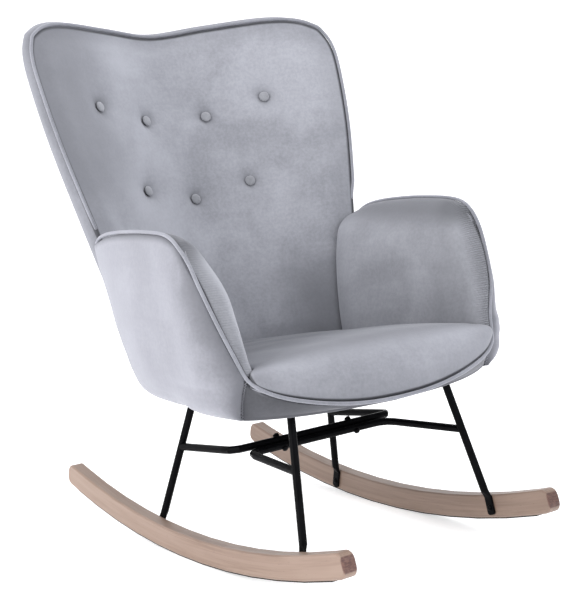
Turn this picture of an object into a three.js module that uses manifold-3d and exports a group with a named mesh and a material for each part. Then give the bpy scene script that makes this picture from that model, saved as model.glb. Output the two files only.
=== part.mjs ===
// A wing-back rocking chair. Millimetres, +Z up. The chair faces -Y and +X is the sitter's left.
// The origin is on the floor, midway between the rockers, under the arc centre of the rockers,
// which is where the chair rests.
import * as THREE from "three";
import { mergeVertices } from "three/addons/utils/BufferGeometryUtils.js";
import Module from "manifold-3d";

const wasm = await Module();
wasm.setup();

// Driving dimensions -------------------------------------------------------------------------
const DEG = Math.PI / 180;
const GAP = 0.3; // clearance kept between rigid pieces that touch
const SOFT_GAP = 2; // clearance kept around the soft pads
const LAYER_GAP = 5; // between the layers of an arm, where glue and webbing lie

const ROCKER_RADIUS = 1564; // of the rocking surface, measured to the underside of the strip
const ROCKER_HALF_ANGLE = 16.8 * DEG;
const ROCKER_DEPTH = 44; // with the strip
const ROCKER_WIDTH = 28;
const ROCKER_X = 225; // centre plane of each rocker
const ROCKER_CORNER = 15; // radius of the corners of a rocker's end
const ROCKER_EASE = 2.5; // easing of the long edges
const FACET_ANGLE = 2.78 * DEG; // the rocking arc is cut into flats, one of them level at rest
const STRIP_FACETS = 11;
const STRIP_THICKNESS = 2;
const STRIP_WIDTH = 21;

const TUBE_RADIUS = 7; // legs and stretchers
const TAB_WIDTH = 17.5; // the flattened foot of a leg
const TAB_THICKNESS = 4.5;
const FRAME_TOP = 292.6; // the top ends of the legs
const PLATE_SIZE = 58;
const PLATE_THICKNESS = 3;

const SEAT_BOARD_BOTTOM = 297.6;
const SEAT_BOARD_THICKNESS = 10;
const SEAT_PAD_BOTTOM = SEAT_BOARD_BOTTOM + SEAT_BOARD_THICKNESS + GAP;
const SHELL_BOTTOM = 288; // lower edge of the upholstered tub
const BACK_BOTTOM = 325;
const BACK_THICKNESS_BOTTOM = 54;
const BACK_THICKNESS_TOP = 30;
const BOARD_THICKNESS = 8; // plywood inside the back and the arms
const OUTER_PAD = 12;
const PIPING_RADIUS = 3;
const BUTTON_RADIUS = 10;

const DUST_COVER_THICKNESS = 1;
const SIDES = { left: 1, right: -1 };

const FABRIC = { color: 0xb4b7c3, roughness: 0.85, metalness: 0 };
const FABRIC_DARK = { color: 0x2b2b2e, roughness: 0.95, metalness: 0 };
const BEECH = { color: 0xc3a592, roughness: 0.55, metalness: 0 };
const PLYWOOD = { color: 0xc9ab7c, roughness: 0.7, metalness: 0 };
const BLACK_STEEL = { color: 0x111113, roughness: 0.42, metalness: 0.6 };
const BLACK_RUBBER = { color: 0x141414, roughness: 0.9, metalness: 0 };

const chair = new THREE.Group();

// Shared helpers -----------------------------------------------------------------------------
function addMesh(name, geometry, finish, position = [0, 0, 0]) {
  const mesh = new THREE.Mesh(geometry, new THREE.MeshStandardMaterial(finish));
  mesh.name = name;
  mesh.position.set(...position);
  chair.add(mesh);
  return mesh;
}

function closed(geometry) {
  geometry.deleteAttribute("normal");
  geometry.deleteAttribute("uv");
  return mergeVertices(geometry, 1e-3);
}

// A box of unit size whose points are carried by place(a, b, c), with a, b and c from 0 to 1.
function warpedBox(cellsA, cellsB, cellsC, place) {
  const geometry = closed(new THREE.BoxGeometry(1, 1, 1, cellsA, cellsB, cellsC));
  const position = geometry.attributes.position;
  for (let i = 0; i < position.count; i += 1) {
    const point = place(position.getX(i) + 0.5, position.getY(i) + 0.5, position.getZ(i) + 0.5);
    position.setXYZ(i, point.x, point.y, point.z);
  }
  return geometry;
}

// The left side of a pair: side is 1 for +X and -1 for -X, and the order of a keeps faces outward.
function warpedPair(side, cellsA, cellsB, cellsC, place) {
  return warpedBox(cellsA, cellsB, cellsC, (a, b, c) => {
    const point = place(side > 0 ? a : 1 - a, b, c);
    point.x *= side;
    return point;
  });
}

// A shape drawn in the side view (Y across, Z up) and extruded along +X.
function sideExtrusion(shape, options) {
  const geometry = new THREE.ExtrudeGeometry(shape, options);
  const toSide = new THREE.Matrix4().makeBasis(
    new THREE.Vector3(0, 1, 0),
    new THREE.Vector3(0, 0, 1),
    new THREE.Vector3(1, 0, 0),
  );
  return closed(geometry.applyMatrix4(toSide));
}

function toSolid(geometry) {
  const merged = closed(geometry.clone());
  return new wasm.Manifold(new wasm.Mesh({
    numProp: 3,
    vertProperties: new Float32Array(merged.attributes.position.array),
    triVerts: new Uint32Array(merged.index.array),
  }));
}

function fromSolid(solid) {
  const mesh = solid.getMesh();
  const geometry = new THREE.BufferGeometry();
  geometry.setAttribute("position", new THREE.BufferAttribute(mesh.vertProperties, 3));
  geometry.setIndex(new THREE.BufferAttribute(mesh.triVerts, 1));
  return geometry;
}

function circleShape(radius) {
  return new THREE.Shape().absarc(0, 0, radius, 0, 2 * Math.PI, false);
}

// A round bar along a path, as an extrusion of a circle.
function barAlong(path, radius, sides, steps) {
  return new THREE.ExtrudeGeometry(circleShape(radius), {
    extrudePath: path,
    steps,
    curveSegments: sides,
    bevelEnabled: false,
  });
}

// A cylinder between two points.
function rodBetween(start, end, radius, sides) {
  const length = start.distanceTo(end);
  const geometry = new THREE.CylinderGeometry(radius, radius, length, sides);
  const along = end.clone().sub(start).normalize();
  const turn = new THREE.Quaternion().setFromUnitVectors(new THREE.Vector3(0, 1, 0), along);
  geometry.applyQuaternion(turn);
  return geometry.translate(...start.clone().add(end).multiplyScalar(0.5).toArray());
}

const clamp = THREE.MathUtils.clamp;
const lerp = THREE.MathUtils.lerp;

// Rockers and anti-slip strips ---------------------------------------------------------------
// A point of a rocker's side view: angle from the lowest point, radius from the arc centre.
function rockerPoint(angle, radius) {
  return new THREE.Vector2(radius * Math.sin(angle), ROCKER_RADIUS - radius * Math.cos(angle));
}

// The corners of the flats that make an arc, out to the last one inside the limit.
function facetAngles(limit) {
  const angles = [];
  for (let k = Math.ceil(-limit / FACET_ANGLE - 0.5) + 0.5; k * FACET_ANGLE <= limit; k += 1) {
    angles.push(k * FACET_ANGLE);
  }
  return angles;
}

function rockerShape() {
  const toCorner = 1 / Math.cos(FACET_ANGLE / 2);
  const outer = (ROCKER_RADIUS - STRIP_THICKNESS - GAP) * toCorner;
  const inner = (ROCKER_RADIUS - ROCKER_DEPTH) * toCorner;
  const cornerSteps = 4;
  const points = [];
  const cornerAt = (end, radius, into, step) => {
    const turn = (step / cornerSteps) * (Math.PI / 2);
    const back = (ROCKER_CORNER * (1 - Math.sin(turn))) / radius;
    return rockerPoint(end - Math.sign(end) * back, radius + into * ROCKER_CORNER * (1 - Math.cos(turn)));
  };
  const straight = facetAngles(ROCKER_HALF_ANGLE - (1.2 * ROCKER_CORNER) / ROCKER_RADIUS);
  straight.forEach((angle) => points.push(rockerPoint(angle, outer)));
  for (let step = 0; step <= cornerSteps; step += 1) {
    points.push(cornerAt(ROCKER_HALF_ANGLE, outer, -1, step));
  }
  for (let step = cornerSteps; step >= 0; step -= 1) {
    points.push(cornerAt(ROCKER_HALF_ANGLE, inner, 1, step));
  }
  straight.reverse().forEach((angle) => points.push(rockerPoint(angle, inner)));
  for (let step = 0; step <= cornerSteps; step += 1) {
    points.push(cornerAt(-ROCKER_HALF_ANGLE, inner, 1, step));
  }
  for (let step = cornerSteps; step >= 0; step -= 1) {
    points.push(cornerAt(-ROCKER_HALF_ANGLE, outer, -1, step));
  }
  return new THREE.Shape(points);
}

function rockerGeometry() {
  const geometry = sideExtrusion(rockerShape(), {
    depth: ROCKER_WIDTH - 2 * ROCKER_EASE,
    bevelEnabled: true,
    bevelThickness: ROCKER_EASE,
    bevelSize: ROCKER_EASE,
    bevelOffset: -ROCKER_EASE,
    bevelSegments: 1,
  });
  return geometry.translate(ROCKER_EASE - ROCKER_WIDTH / 2, 0, 0);
}

function stripGeometry() {
  const toCorner = 1 / Math.cos(FACET_ANGLE / 2);
  const angles = facetAngles((STRIP_FACETS / 2) * FACET_ANGLE + 1e-6);
  const lower = angles.map((angle) => rockerPoint(angle, ROCKER_RADIUS * toCorner));
  const upper = angles.map((angle) => rockerPoint(angle, (ROCKER_RADIUS - STRIP_THICKNESS) * toCorner));
  const shape = new THREE.Shape([...lower, ...upper.reverse()]);
  const geometry = sideExtrusion(shape, { depth: STRIP_WIDTH, bevelEnabled: false });
  return geometry.translate(-STRIP_WIDTH / 2, 0, 0);
}

// Legs, stretchers and their fixings ---------------------------------------------------------
// Each leg runs from its plate under the seat to the knee at the rocker's upper edge, and goes
// on as a flat tab against the rocker's inner face. These are the points for the +X side.
const TAB_X = ROCKER_X - ROCKER_WIDTH / 2 - GAP - TAB_THICKNESS / 2;
const KNEE_X = ROCKER_X - ROCKER_WIDTH / 2 - GAP - TUBE_RADIUS;
const LEGS = {
  front: {
    top: new THREE.Vector3(169, -243, FRAME_TOP),
    knee: new THREE.Vector3(KNEE_X, -299, 82),
    foot: new THREE.Vector3(TAB_X, -309.5, 39.5),
    joint: 195,
  },
  rear: {
    top: new THREE.Vector3(150, 70.5, FRAME_TOP),
    knee: new THREE.Vector3(KNEE_X, 133, 57),
    foot: new THREE.Vector3(TAB_X, 143.5, 13.5),
    joint: 180.5,
  },
};
const TAB_CORNER = 4;

// The stations of a leg from foot to top: centre, half width, half thickness and squareness.
function legStations(leg) {
  const down = leg.foot.clone().sub(leg.knee);
  down.x = 0;
  down.normalize();
  const tabAt = (fromFoot) => leg.foot.clone().addScaledVector(down, -fromFoot);
  const tabTop = leg.foot.clone().lerp(leg.knee, 0.72);
  tabTop.x = TAB_X;
  const tab = { width: TAB_WIDTH / 2, thickness: TAB_THICKNESS / 2, square: 0.35 };
  const round = { width: TUBE_RADIUS, thickness: TUBE_RADIUS, square: 1 };
  return [
    { centre: tabAt(0), ...tab, width: TAB_WIDTH / 2 - TAB_CORNER },
    { centre: tabAt(TAB_CORNER / 3), ...tab, width: TAB_WIDTH / 2 - TAB_CORNER / 3 },
    { centre: tabAt(TAB_CORNER), ...tab },
    { centre: tabTop, ...tab },
    { centre: tabTop.clone().lerp(leg.knee, 0.5), width: 8, thickness: 4.2, square: 0.7 },
    { centre: leg.knee, ...round },
    { centre: leg.top, ...round },
  ];
}

function legGeometry(leg) {
  const stations = legStations(leg);
  const sides = 14;
  const geometry = closed(new THREE.CylinderGeometry(1, 1, 1, sides, stations.length - 1));
  const position = geometry.attributes.position;
  const along = leg.top.clone().sub(leg.knee).normalize();
  const widthAxis = new THREE.Vector3(0, -along.z, along.y).normalize();
  const soften = (value, power) => Math.sign(value) * Math.abs(value) ** power;
  for (let i = 0; i < position.count; i += 1) {
    const index = Math.round((position.getY(i) + 0.5) * (stations.length - 1));
    const station = stations[index];
    const point = station.centre.clone();
    point.addScaledVector(widthAxis, soften(position.getZ(i), station.square) * station.width);
    point.x += soften(position.getX(i), station.square) * station.thickness;
    if (index === stations.length - 1) {
      point.addScaledVector(along, (FRAME_TOP - point.z) / along.z);
    }
    position.setXYZ(i, point.x, point.y, point.z);
  }
  return geometry;
}

function pointOnLeg(leg, height) {
  return leg.knee.clone().lerp(leg.top, (height - leg.knee.z) / (leg.top.z - leg.knee.z));
}

const mirrored = (point) => new THREE.Vector3(-point.x, point.y, point.z);

// The corner where each stretcher turns from its arm into its crossbar, on the +X side.
const STRETCHER_BEND = 24;
const STRETCHER_CORNERS = {
  front: new THREE.Vector3(155, -92.5, 192.5),
  rear: new THREE.Vector3(180, -80.5, 201),
};

function stretcherPath(joint, corner) {
  const path = new THREE.CurvePath();
  const toJoint = joint.clone().sub(corner).normalize();
  const bendStart = corner.clone().addScaledVector(toJoint, STRETCHER_BEND);
  const bendEnd = corner.clone().setX(corner.x - STRETCHER_BEND);
  path.add(new THREE.LineCurve3(mirrored(joint), mirrored(bendStart)));
  path.add(new THREE.QuadraticBezierCurve3(mirrored(bendStart), mirrored(corner), mirrored(bendEnd)));
  path.add(new THREE.LineCurve3(mirrored(bendEnd), bendEnd));
  path.add(new THREE.QuadraticBezierCurve3(bendEnd, corner, bendStart));
  path.add(new THREE.LineCurve3(bendStart, joint));
  return path;
}

// A stretcher's ends are cut to the round of the legs that they are welded to.
function stretcherGeometry(leg, corner) {
  const joint = pointOnLeg(leg, leg.joint);
  const bar = toSolid(barAlong(stretcherPath(joint, corner), TUBE_RADIUS, 5, 42));
  const low = pointOnLeg(leg, leg.joint - 4 * TUBE_RADIUS);
  const high = pointOnLeg(leg, leg.joint + 4 * TUBE_RADIUS);
  const clearance = TUBE_RADIUS + GAP;
  const right = toSolid(rodBetween(low, high, clearance, 16));
  const left = toSolid(rodBetween(mirrored(low), mirrored(high), clearance, 16));
  return fromSolid(bar.subtract(right).subtract(left));
}

// A domed screw or bolt head with its shank, drawn along +Z with the seat of the head at z = 0.
function boltProfile(headRadius, headHeight, shankRadius, shankLength) {
  return [
    new THREE.Vector2(0, -shankLength),
    new THREE.Vector2(shankRadius, -shankLength),
    new THREE.Vector2(shankRadius, 0),
    new THREE.Vector2(headRadius, 0),
    new THREE.Vector2(headRadius * 0.96, headHeight * 0.45),
    new THREE.Vector2(headRadius * 0.6, headHeight * 0.88),
    new THREE.Vector2(0, headHeight),
  ];
}

function boltGeometry(headRadius, headHeight, shankRadius, shankLength, sides) {
  const profile = boltProfile(headRadius, headHeight, shankRadius, shankLength);
  return closed(new THREE.LatheGeometry(profile, sides).rotateX(Math.PI / 2));
}

// Upholstery: the back ------------------------------------------------------------------------
const BACK_LEAN = 0.3735; // rise of the back's face in Y for each mm of height
const BACK_FACE_Y = 250; // the face's Y on the centre line at the lower middle button
const BACK_FACE_Z = 624;
const WING_SLOPE = 0.5; // how far the wings come forward for each mm outward
const WING_SOFTNESS = 80; // how broadly the middle of the back is rounded

function backFaceY(x, z) {
  const wing = WING_SLOPE * (Math.hypot(x, WING_SOFTNESS) - WING_SOFTNESS);
  return BACK_FACE_Y + BACK_LEAN * (z - BACK_FACE_Z) - wing;
}

const BACK_TOP_CENTRE = 945;
const BACK_EAR = new THREE.Vector2(324, 945); // where the side of the outline meets its top
const backSide = new THREE.SplineCurve([
  new THREE.Vector2(236, BACK_BOTTOM),
  new THREE.Vector2(262, 450),
  new THREE.Vector2(295, 600),
  new THREE.Vector2(325, 745),
  new THREE.Vector2(339, 860),
  new THREE.Vector2(338, 912),
  BACK_EAR,
]);
const backTop = new THREE.SplineCurve([
  BACK_EAR,
  new THREE.Vector2(288, 962),
  new THREE.Vector2(230, 967),
  new THREE.Vector2(115, 957),
  new THREE.Vector2(0, BACK_TOP_CENTRE),
  new THREE.Vector2(-115, 957),
  new THREE.Vector2(-230, 967),
  new THREE.Vector2(-288, 962),
  new THREE.Vector2(-BACK_EAR.x, BACK_EAR.y),
]);

// The back's outline filled from its four sides: a runs from -X to +X and c from bottom to top.
function backOutline(a, c) {
  const right = backSide.getPoint(c);
  const left = new THREE.Vector2(-right.x, right.y);
  const top = backTop.getPoint(1 - a);
  const bottom = new THREE.Vector2(lerp(-1, 1, a) * backSide.points[0].x, BACK_BOTTOM);
  const corners = new THREE.Vector2(
    lerp(-1, 1, a) * lerp(backSide.points[0].x, BACK_EAR.x, c),
    lerp(BACK_BOTTOM, BACK_EAR.y, c),
  );
  return left.lerp(right, a).add(bottom.lerp(top, c)).sub(corners);
}

function backThickness(z) {
  const up = clamp((z - BACK_BOTTOM) / (BACK_EAR.y - BACK_BOTTOM), 0, 1);
  return lerp(BACK_THICKNESS_BOTTOM, BACK_THICKNESS_TOP, up);
}

// A layer of the back. from and to are fractions of the room in front of (0 to 1) or behind
// (1 to 2) the board, and inset keeps the layer inside the outline.
const FOAM_SHARE = 0.55;
const BACK_TILT = Math.hypot(1, WING_SLOPE, BACK_LEAN); // thickness along Y against true thickness
function backLayer(thicknessFrom, thicknessTo, inset, cellsA, cellsC) {
  return warpedBox(cellsA, 1, cellsC, (a, b, c) => {
    const outline = backOutline(lerp(inset, 1 - inset, a), lerp(inset, 1 - inset, c));
    const soft = backThickness(outline.y) - BOARD_THICKNESS;
    const depth = lerp(thicknessFrom(soft), thicknessTo(soft), b) * BACK_TILT;
    return new THREE.Vector3(outline.x, backFaceY(outline.x, outline.y) + depth, outline.y);
  });
}

const BACK_CELLS_A = 14;
const BACK_CELLS_C = 9;
const foamDepth = (soft) => soft * FOAM_SHARE;

// Seven covered buttons: four in a shallow arc and three below, each sunk into a dimple.
const BUTTONS = [
  [-186.5, 815],
  [-67, 783],
  [67, 783],
  [186.5, 815],
  [-115.5, 650],
  [0, 624],
  [115.5, 650],
];
const DIMPLE_RADIUS = 13;
const DIMPLE_DEPTH = 8;

function backNormal(x) {
  const slope = (WING_SLOPE * x) / Math.hypot(x, WING_SOFTNESS);
  return new THREE.Vector3(-slope, -1, BACK_LEAN).normalize();
}

function buttonSeat([x, z], depth) {
  return new THREE.Vector3(x, backFaceY(x, z), z).addScaledVector(backNormal(x), -depth);
}

function backFoamGeometry() {
  const foam = backLayer(() => 0, foamDepth, 0, BACK_CELLS_A, BACK_CELLS_C);
  return fromSolid(BUTTONS.reduce((solid, button) => {
    const floor = buttonSeat(button, DIMPLE_DEPTH);
    const mouth = buttonSeat(button, -3 * DIMPLE_DEPTH);
    return solid.subtract(toSolid(rodBetween(floor, mouth, DIMPLE_RADIUS, 12)));
  }, toSolid(foam)));
}

function buttonGeometry(button) {
  const dome = [
    new THREE.Vector2(0, 0),
    new THREE.Vector2(BUTTON_RADIUS * 0.8, 0),
    new THREE.Vector2(BUTTON_RADIUS, 2),
    new THREE.Vector2(BUTTON_RADIUS * 0.92, 4),
    new THREE.Vector2(BUTTON_RADIUS * 0.6, 5.6),
    new THREE.Vector2(0, 6.4),
  ];
  const geometry = closed(new THREE.LatheGeometry(dome, 12));
  const turn = new THREE.Quaternion();
  turn.setFromUnitVectors(new THREE.Vector3(0, 1, 0), backNormal(button[0]));
  return geometry.applyQuaternion(turn);
}

// The piping follows the outline just outside the face's edge, from one arm over the top to the other.
function backPipingPath() {
  const start = 0.445; // of the side curve, just above the arms
  const outward = PIPING_RADIUS + 5 * GAP;
  const points = [];
  const add = (x, z, push) => {
    const y = backFaceY(x, z) + PIPING_RADIUS - 1;
    points.push(new THREE.Vector3(x + push.x * outward, y, z + push.y * outward));
  };
  const sideSteps = 9;
  const topSteps = 14;
  const sidePush = (t) => {
    const tangent = backSide.getTangent(t);
    return new THREE.Vector2(tangent.y, -tangent.x);
  };
  for (let step = 0; step < sideSteps; step += 1) {
    const t = lerp(start, 1, step / sideSteps);
    const point = backSide.getPoint(t);
    add(point.x, point.y, sidePush(t));
  }
  for (let step = 0; step <= topSteps; step += 1) {
    const point = backTop.getPoint(step / topSteps);
    const tangent = backTop.getTangent(step / topSteps);
    add(point.x, point.y, new THREE.Vector2(tangent.y, -tangent.x));
  }
  for (let step = sideSteps - 1; step >= 0; step -= 1) {
    const t = lerp(start, 1, step / sideSteps);
    const point = backSide.getPoint(t);
    const push = sidePush(t);
    add(-point.x, point.y, push.setX(-push.x));
  }
  return new THREE.CatmullRomCurve3(points);
}

// Upholstery: the tub of arms, seat and front apron ---------------------------------------------
const ARM_MID_Y = -80; // behind this line the tub closes in to the rear
const ARM_FRONT_ROUNDING = 50; // length in Y of the rounding behind an arm's front edge

// Level sections of an arm's outer face: the height, the widest X, and X and Y of the front edge.
const ARM_SECTIONS = [
  [292, 262, 262, -244],
  [358, 319, 268, -267],
  [396, 323, 279, -256.5],
  [450, 326, 298, -243],
  [513, 328, 310, -217],
  [550, 326, 315, -199],
  [578, 322, 318, -169],
  [600, 317, 316, -124],
];

function armSection(z) {
  const above = ARM_SECTIONS.findIndex((section) => section[0] > z);
  const upper = ARM_SECTIONS[above > 0 ? above : ARM_SECTIONS.length - 1];
  const lower = ARM_SECTIONS[above > 0 ? above - 1 : ARM_SECTIONS.length - 2];
  const share = clamp((z - lower[0]) / (upper[0] - lower[0]), 0, 1);
  return lower.map((value, index) => lerp(value, upper[index], share));
}

// The outer face of an arm: it turns in under the seat, is rounded at its front edge, and closes
// in to the rear.
function armOuterX(y, z) {
  const [, widest, edgeX, edgeY] = armSection(z);
  const behind = clamp((y - edgeY) / ARM_FRONT_ROUNDING, 0, 1);
  const fullness = Math.cbrt(1 - (1 - behind) ** 3);
  const rearward = clamp((y - ARM_MID_Y) / 190, 0, 1.2);
  const closeRear = 16 + 36 * clamp((565 - z) / 190, 0, 1);
  return lerp(edgeX, widest, fullness) - closeRear * rearward ** 2;
}

// The inner face: upright at the front, leaning out and closing in towards the back, and rolling
// outward near the top.
const ARM_PAD_THINNEST = 6;
function armInnerX(y, z) {
  const rear = 190 + 0.22 * (z - 349);
  const front = 251 + 0.07 * (z - 395);
  const roll = 20 * (Math.max(0, z - 480) / 110) ** 1.5;
  const inner = lerp(front, rear, clamp((y + 230) / 330, 0, 1)) + roll;
  const layers = OUTER_PAD + BOARD_THICKNESS + 2 * LAYER_GAP;
  return Math.min(inner, armOuterX(y, z) - layers - ARM_PAD_THINNEST);
}

// The side view of an arm, as four edges that meet at its corners: x is Y and y is Z here.
const ARM_BOTTOM = 292;
const ARM_FRONT_CORNER = new THREE.Vector2(-169, 578);
const ARM_REAR_CORNER = new THREE.Vector2(122, 566);
const ARM_FRONT_FOOT = new THREE.Vector2(-243, ARM_BOTTOM);
const ARM_REAR_FOOT = new THREE.Vector2(82, ARM_BOTTOM);
const ARM_FOOT_RISE = 6; // of the lower edge between its ends
const armFront = new THREE.SplineCurve([
  ARM_FRONT_FOOT,
  new THREE.Vector2(-255, 326),
  new THREE.Vector2(-266, 358),
  new THREE.Vector2(-255, 396),
  new THREE.Vector2(-242, 450),
  new THREE.Vector2(-216, 513),
  ARM_FRONT_CORNER,
]);
const armTop = new THREE.SplineCurve([
  ARM_REAR_CORNER,
  new THREE.Vector2(66, 584),
  new THREE.Vector2(-20, 591.5),
  new THREE.Vector2(-105, 593),
  new THREE.Vector2(-142, 589.5),
  ARM_FRONT_CORNER,
]);
const armRear = new THREE.SplineCurve([
  ARM_REAR_FOOT,
  new THREE.Vector2(84, 350),
  new THREE.Vector2(97, 440),
  ARM_REAR_CORNER,
]);

// The arm's side view filled from its edges: u runs from front to rear and v from foot to top.
function armOutline(u, v) {
  const front = armFront.getPoint(v);
  const rear = armRear.getPoint(v);
  const top = armTop.getPoint(1 - u);
  const bottom = ARM_FRONT_FOOT.clone().lerp(ARM_REAR_FOOT, u);
  bottom.y += 4 * u * (1 - u) * ARM_FOOT_RISE;
  const low = ARM_FRONT_FOOT.clone().lerp(ARM_REAR_FOOT, u);
  const high = ARM_FRONT_CORNER.clone().lerp(ARM_REAR_CORNER, u);
  return front.lerp(rear, u).add(bottom.lerp(top, v)).sub(low.lerp(high, v));
}

// A layer of an arm between two offsets from its outer face, kept clear of the back. The inner
// layers stop behind the seat's rolled front edge. The cells are close together at the front,
// where the faces are rounded.
const ARM_CELLS_U = 10;
const ARM_CELLS_V = 9;
const ARM_INNER_FRONT = -244;
const ARM_FRONT_CLUSTER = 1.6;
function armLayer(side, innerX, outerX, options) {
  const { floor = ARM_BOTTOM, inset = 0, rounding = 0, besideBack = false } = options;
  const foremost = besideBack ? -Infinity : ARM_INNER_FRONT;
  return warpedPair(side, 1, ARM_CELLS_U, ARM_CELLS_V, (a, b, c) => {
    const round = rounding * (1 - a);
    const u = lerp(inset + round, 1 - inset, b ** ARM_FRONT_CLUSTER);
    const point = armOutline(u, lerp(0, 1 - inset - round, c));
    const z = Math.max(floor, point.y);
    const x = lerp(innerX(point.x, z), outerX(point.x, z), a);
    const backY = backFaceY(x, Math.max(z, BACK_BOTTOM)) - 3.5 * SOFT_GAP;
    const reach = lerp(armFront.getPoint(c).x, backY, b ** ARM_FRONT_CLUSTER);
    const y = Math.max(foremost, besideBack ? point.x : Math.min(point.x, reach));
    return new THREE.Vector3(lerp(innerX(y, z), outerX(y, z), a), y, z);
  });
}

const armOuterPadGeometry = (side) => armLayer(
  side,
  (y, z) => armOuterX(y, z) - OUTER_PAD,
  armOuterX,
  { besideBack: true },
);
const armBoardGeometry = (side) => armLayer(
  side,
  (y, z) => armOuterX(y, z) - OUTER_PAD - LAYER_GAP - BOARD_THICKNESS,
  (y, z) => armOuterX(y, z) - OUTER_PAD - LAYER_GAP,
  { floor: SEAT_PAD_BOTTOM, inset: 0.075 },
);
const armInnerPadGeometry = (side) => armLayer(
  side,
  armInnerX,
  (y, z) => armOuterX(y, z) - OUTER_PAD - BOARD_THICKNESS - 2 * LAYER_GAP,
  { floor: SEAT_PAD_BOTTOM, rounding: 0.04 },
);

// The line of the piping on the +X side, from the middle of the seat's front to the arm's rear.
const TUB_PIPING_POINTS = [
  [0, -325, 294],
  [57, -325, 296],
  [112, -322, 302],
  [168, -316, 313],
  [220, -304, 328],
  [252, -288, 344],
  [269, -271, 363],
  [280, -258, 396],
  [299, -246, 450],
  [311, -221, 510],
  [316.5, -201, 550],
  [319.5, -182, 573],
  [320, -159, 589],
  [316, -124, 596],
  [315, -62, 597.5],
  [314, -5, 596],
  [312, 57, 591],
  [308, 97, 583],
  [304, 118, 574],
];

function tubPipingPath() {
  const half = TUB_PIPING_POINTS.map((point) => new THREE.Vector3(...point));
  const other = half.slice(1).map(mirrored).reverse();
  return new THREE.CatmullRomCurve3([...other, ...half]);
}

// The seat pad lies between the arms and the back, and rolls over the front edge.
const SEAT_FRONT_Y = -320;
const SEAT_SIDE_FRONT_Y = -262; // where the pad's side leaves the arm and turns to the front
const SEAT_REAR_Z = 349;
const SEAT_FRONT_Z = 377;
const SEAT_CROWN = 14;
const SEAT_LIP = 345; // top of the rolled front face

function frontEdgeY(x) {
  return SEAT_FRONT_Y + 21 * (Math.abs(x) / 218) ** 3.3;
}

function frontEdgeZ(x) {
  return 294 + 34 * (Math.abs(x) / 218) ** 2.4;
}

function seatHalfWidth(y, z) {
  const rounding = 30 * clamp((-236 - y) / 84, 0, 1) ** 2;
  const beforeArms = y < SEAT_SIDE_FRONT_Y - SOFT_GAP;
  const side = beforeArms ? armInnerX(-225, Math.max(z, 345)) : armInnerX(y, z);
  return side - rounding - 3.5 * SOFT_GAP;
}

function seatTopZ(x, y, halfWidth) {
  const back = clamp((y - -242) / 330, 0, 1);
  const crown = SEAT_CROWN * (1 - (x / halfWidth) ** 2) * (1 - back ** 2);
  const roll = clamp((-242 - y) / 78, 0, 1);
  return lerp(SEAT_FRONT_Z, SEAT_REAR_Z, back) + crown - (SEAT_FRONT_Z - SEAT_LIP) * roll ** 2;
}

// The rows of the seat pad from front to rear, close together where its outline turns.
const SEAT_ROWS = [0, 0.045, 0.09, 0.125, 0.21, 0.32, 0.43, 0.55, 0.68, 0.84, 1];

function seatPadGeometry() {
  const lastRow = SEAT_ROWS.length - 1;
  return warpedBox(12, lastRow, 3, (a, row, c) => {
    const across = lerp(-1, 1, a);
    const b = SEAT_ROWS[Math.round(row * lastRow)];
    const roughX = across * 235;
    const frontY = frontEdgeY(roughX);
    const rearY = backFaceY(across * 195, SEAT_REAR_Z - 10) - 3 * SOFT_GAP;
    const y = lerp(frontY, rearY, b);
    const halfWidth = seatHalfWidth(y, lerp(SEAT_PAD_BOTTOM, SEAT_FRONT_Z, c));
    const x = across * halfWidth;
    const lip = Math.max(0, 1 - b * 9.5);
    const floor = lerp(SEAT_PAD_BOTTOM, frontEdgeZ(x) + PIPING_RADIUS + SOFT_GAP, lip);
    const bulge = -9 * Math.sin(Math.PI * c) * Math.max(0, 1 - b * 5);
    return new THREE.Vector3(x, y + bulge, lerp(floor, seatTopZ(x, y, halfWidth), c));
  });
}

const SEAT_BOARD_FRONT = -266;
const SEAT_BOARD_REAR = 100;
function seatBoardShape() {
  const rows = 7;
  const right = [];
  for (let row = 0; row <= rows; row += 1) {
    const y = lerp(SEAT_BOARD_FRONT, SEAT_BOARD_REAR, row / rows);
    const taper = 60 * clamp((-190 - y) / 80, 0, 1) ** 1.5;
    const x = armOuterX(y, SEAT_BOARD_BOTTOM) - OUTER_PAD - BOARD_THICKNESS - 4 - taper;
    right.push(new THREE.Vector2(x, y));
  }
  const left = right.map((point) => new THREE.Vector2(-point.x, point.y)).reverse();
  return new THREE.Shape([...right, ...left]);
}

// The apron closes the tub's front below the piping, and turns round to the arms' outer pads.
const apronTopEdge = new THREE.SplineCurve([
  new THREE.Vector2(0, -324),
  new THREE.Vector2(112, -321),
  new THREE.Vector2(218, -303),
  new THREE.Vector2(244, -290),
  new THREE.Vector2(261, -275),
]);
const apronBottomEdge = new THREE.SplineCurve([
  new THREE.Vector2(0, -316),
  new THREE.Vector2(100, -306),
  new THREE.Vector2(175, -289),
  new THREE.Vector2(232, -267),
  new THREE.Vector2(257, -250),
]);
const APRON_THICKNESS = 9;

function apronGeometry() {
  return warpedBox(18, 1, 3, (a, b, c) => {
    const side = Math.sign(a - 0.5);
    const along = Math.abs(lerp(-1, 1, a));
    const outer = apronBottomEdge.getPoint(along).lerp(apronTopEdge.getPoint(along), c);
    const inward = new THREE.Vector2(0, -150).sub(outer).normalize();
    const point = outer.addScaledVector(inward, b * APRON_THICKNESS);
    const rim = frontEdgeZ(apronTopEdge.getPoint(along).x) - PIPING_RADIUS - 1;
    return new THREE.Vector3(side * point.x, point.y, lerp(SHELL_BOTTOM - 3, rim, c));
  });
}

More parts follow.
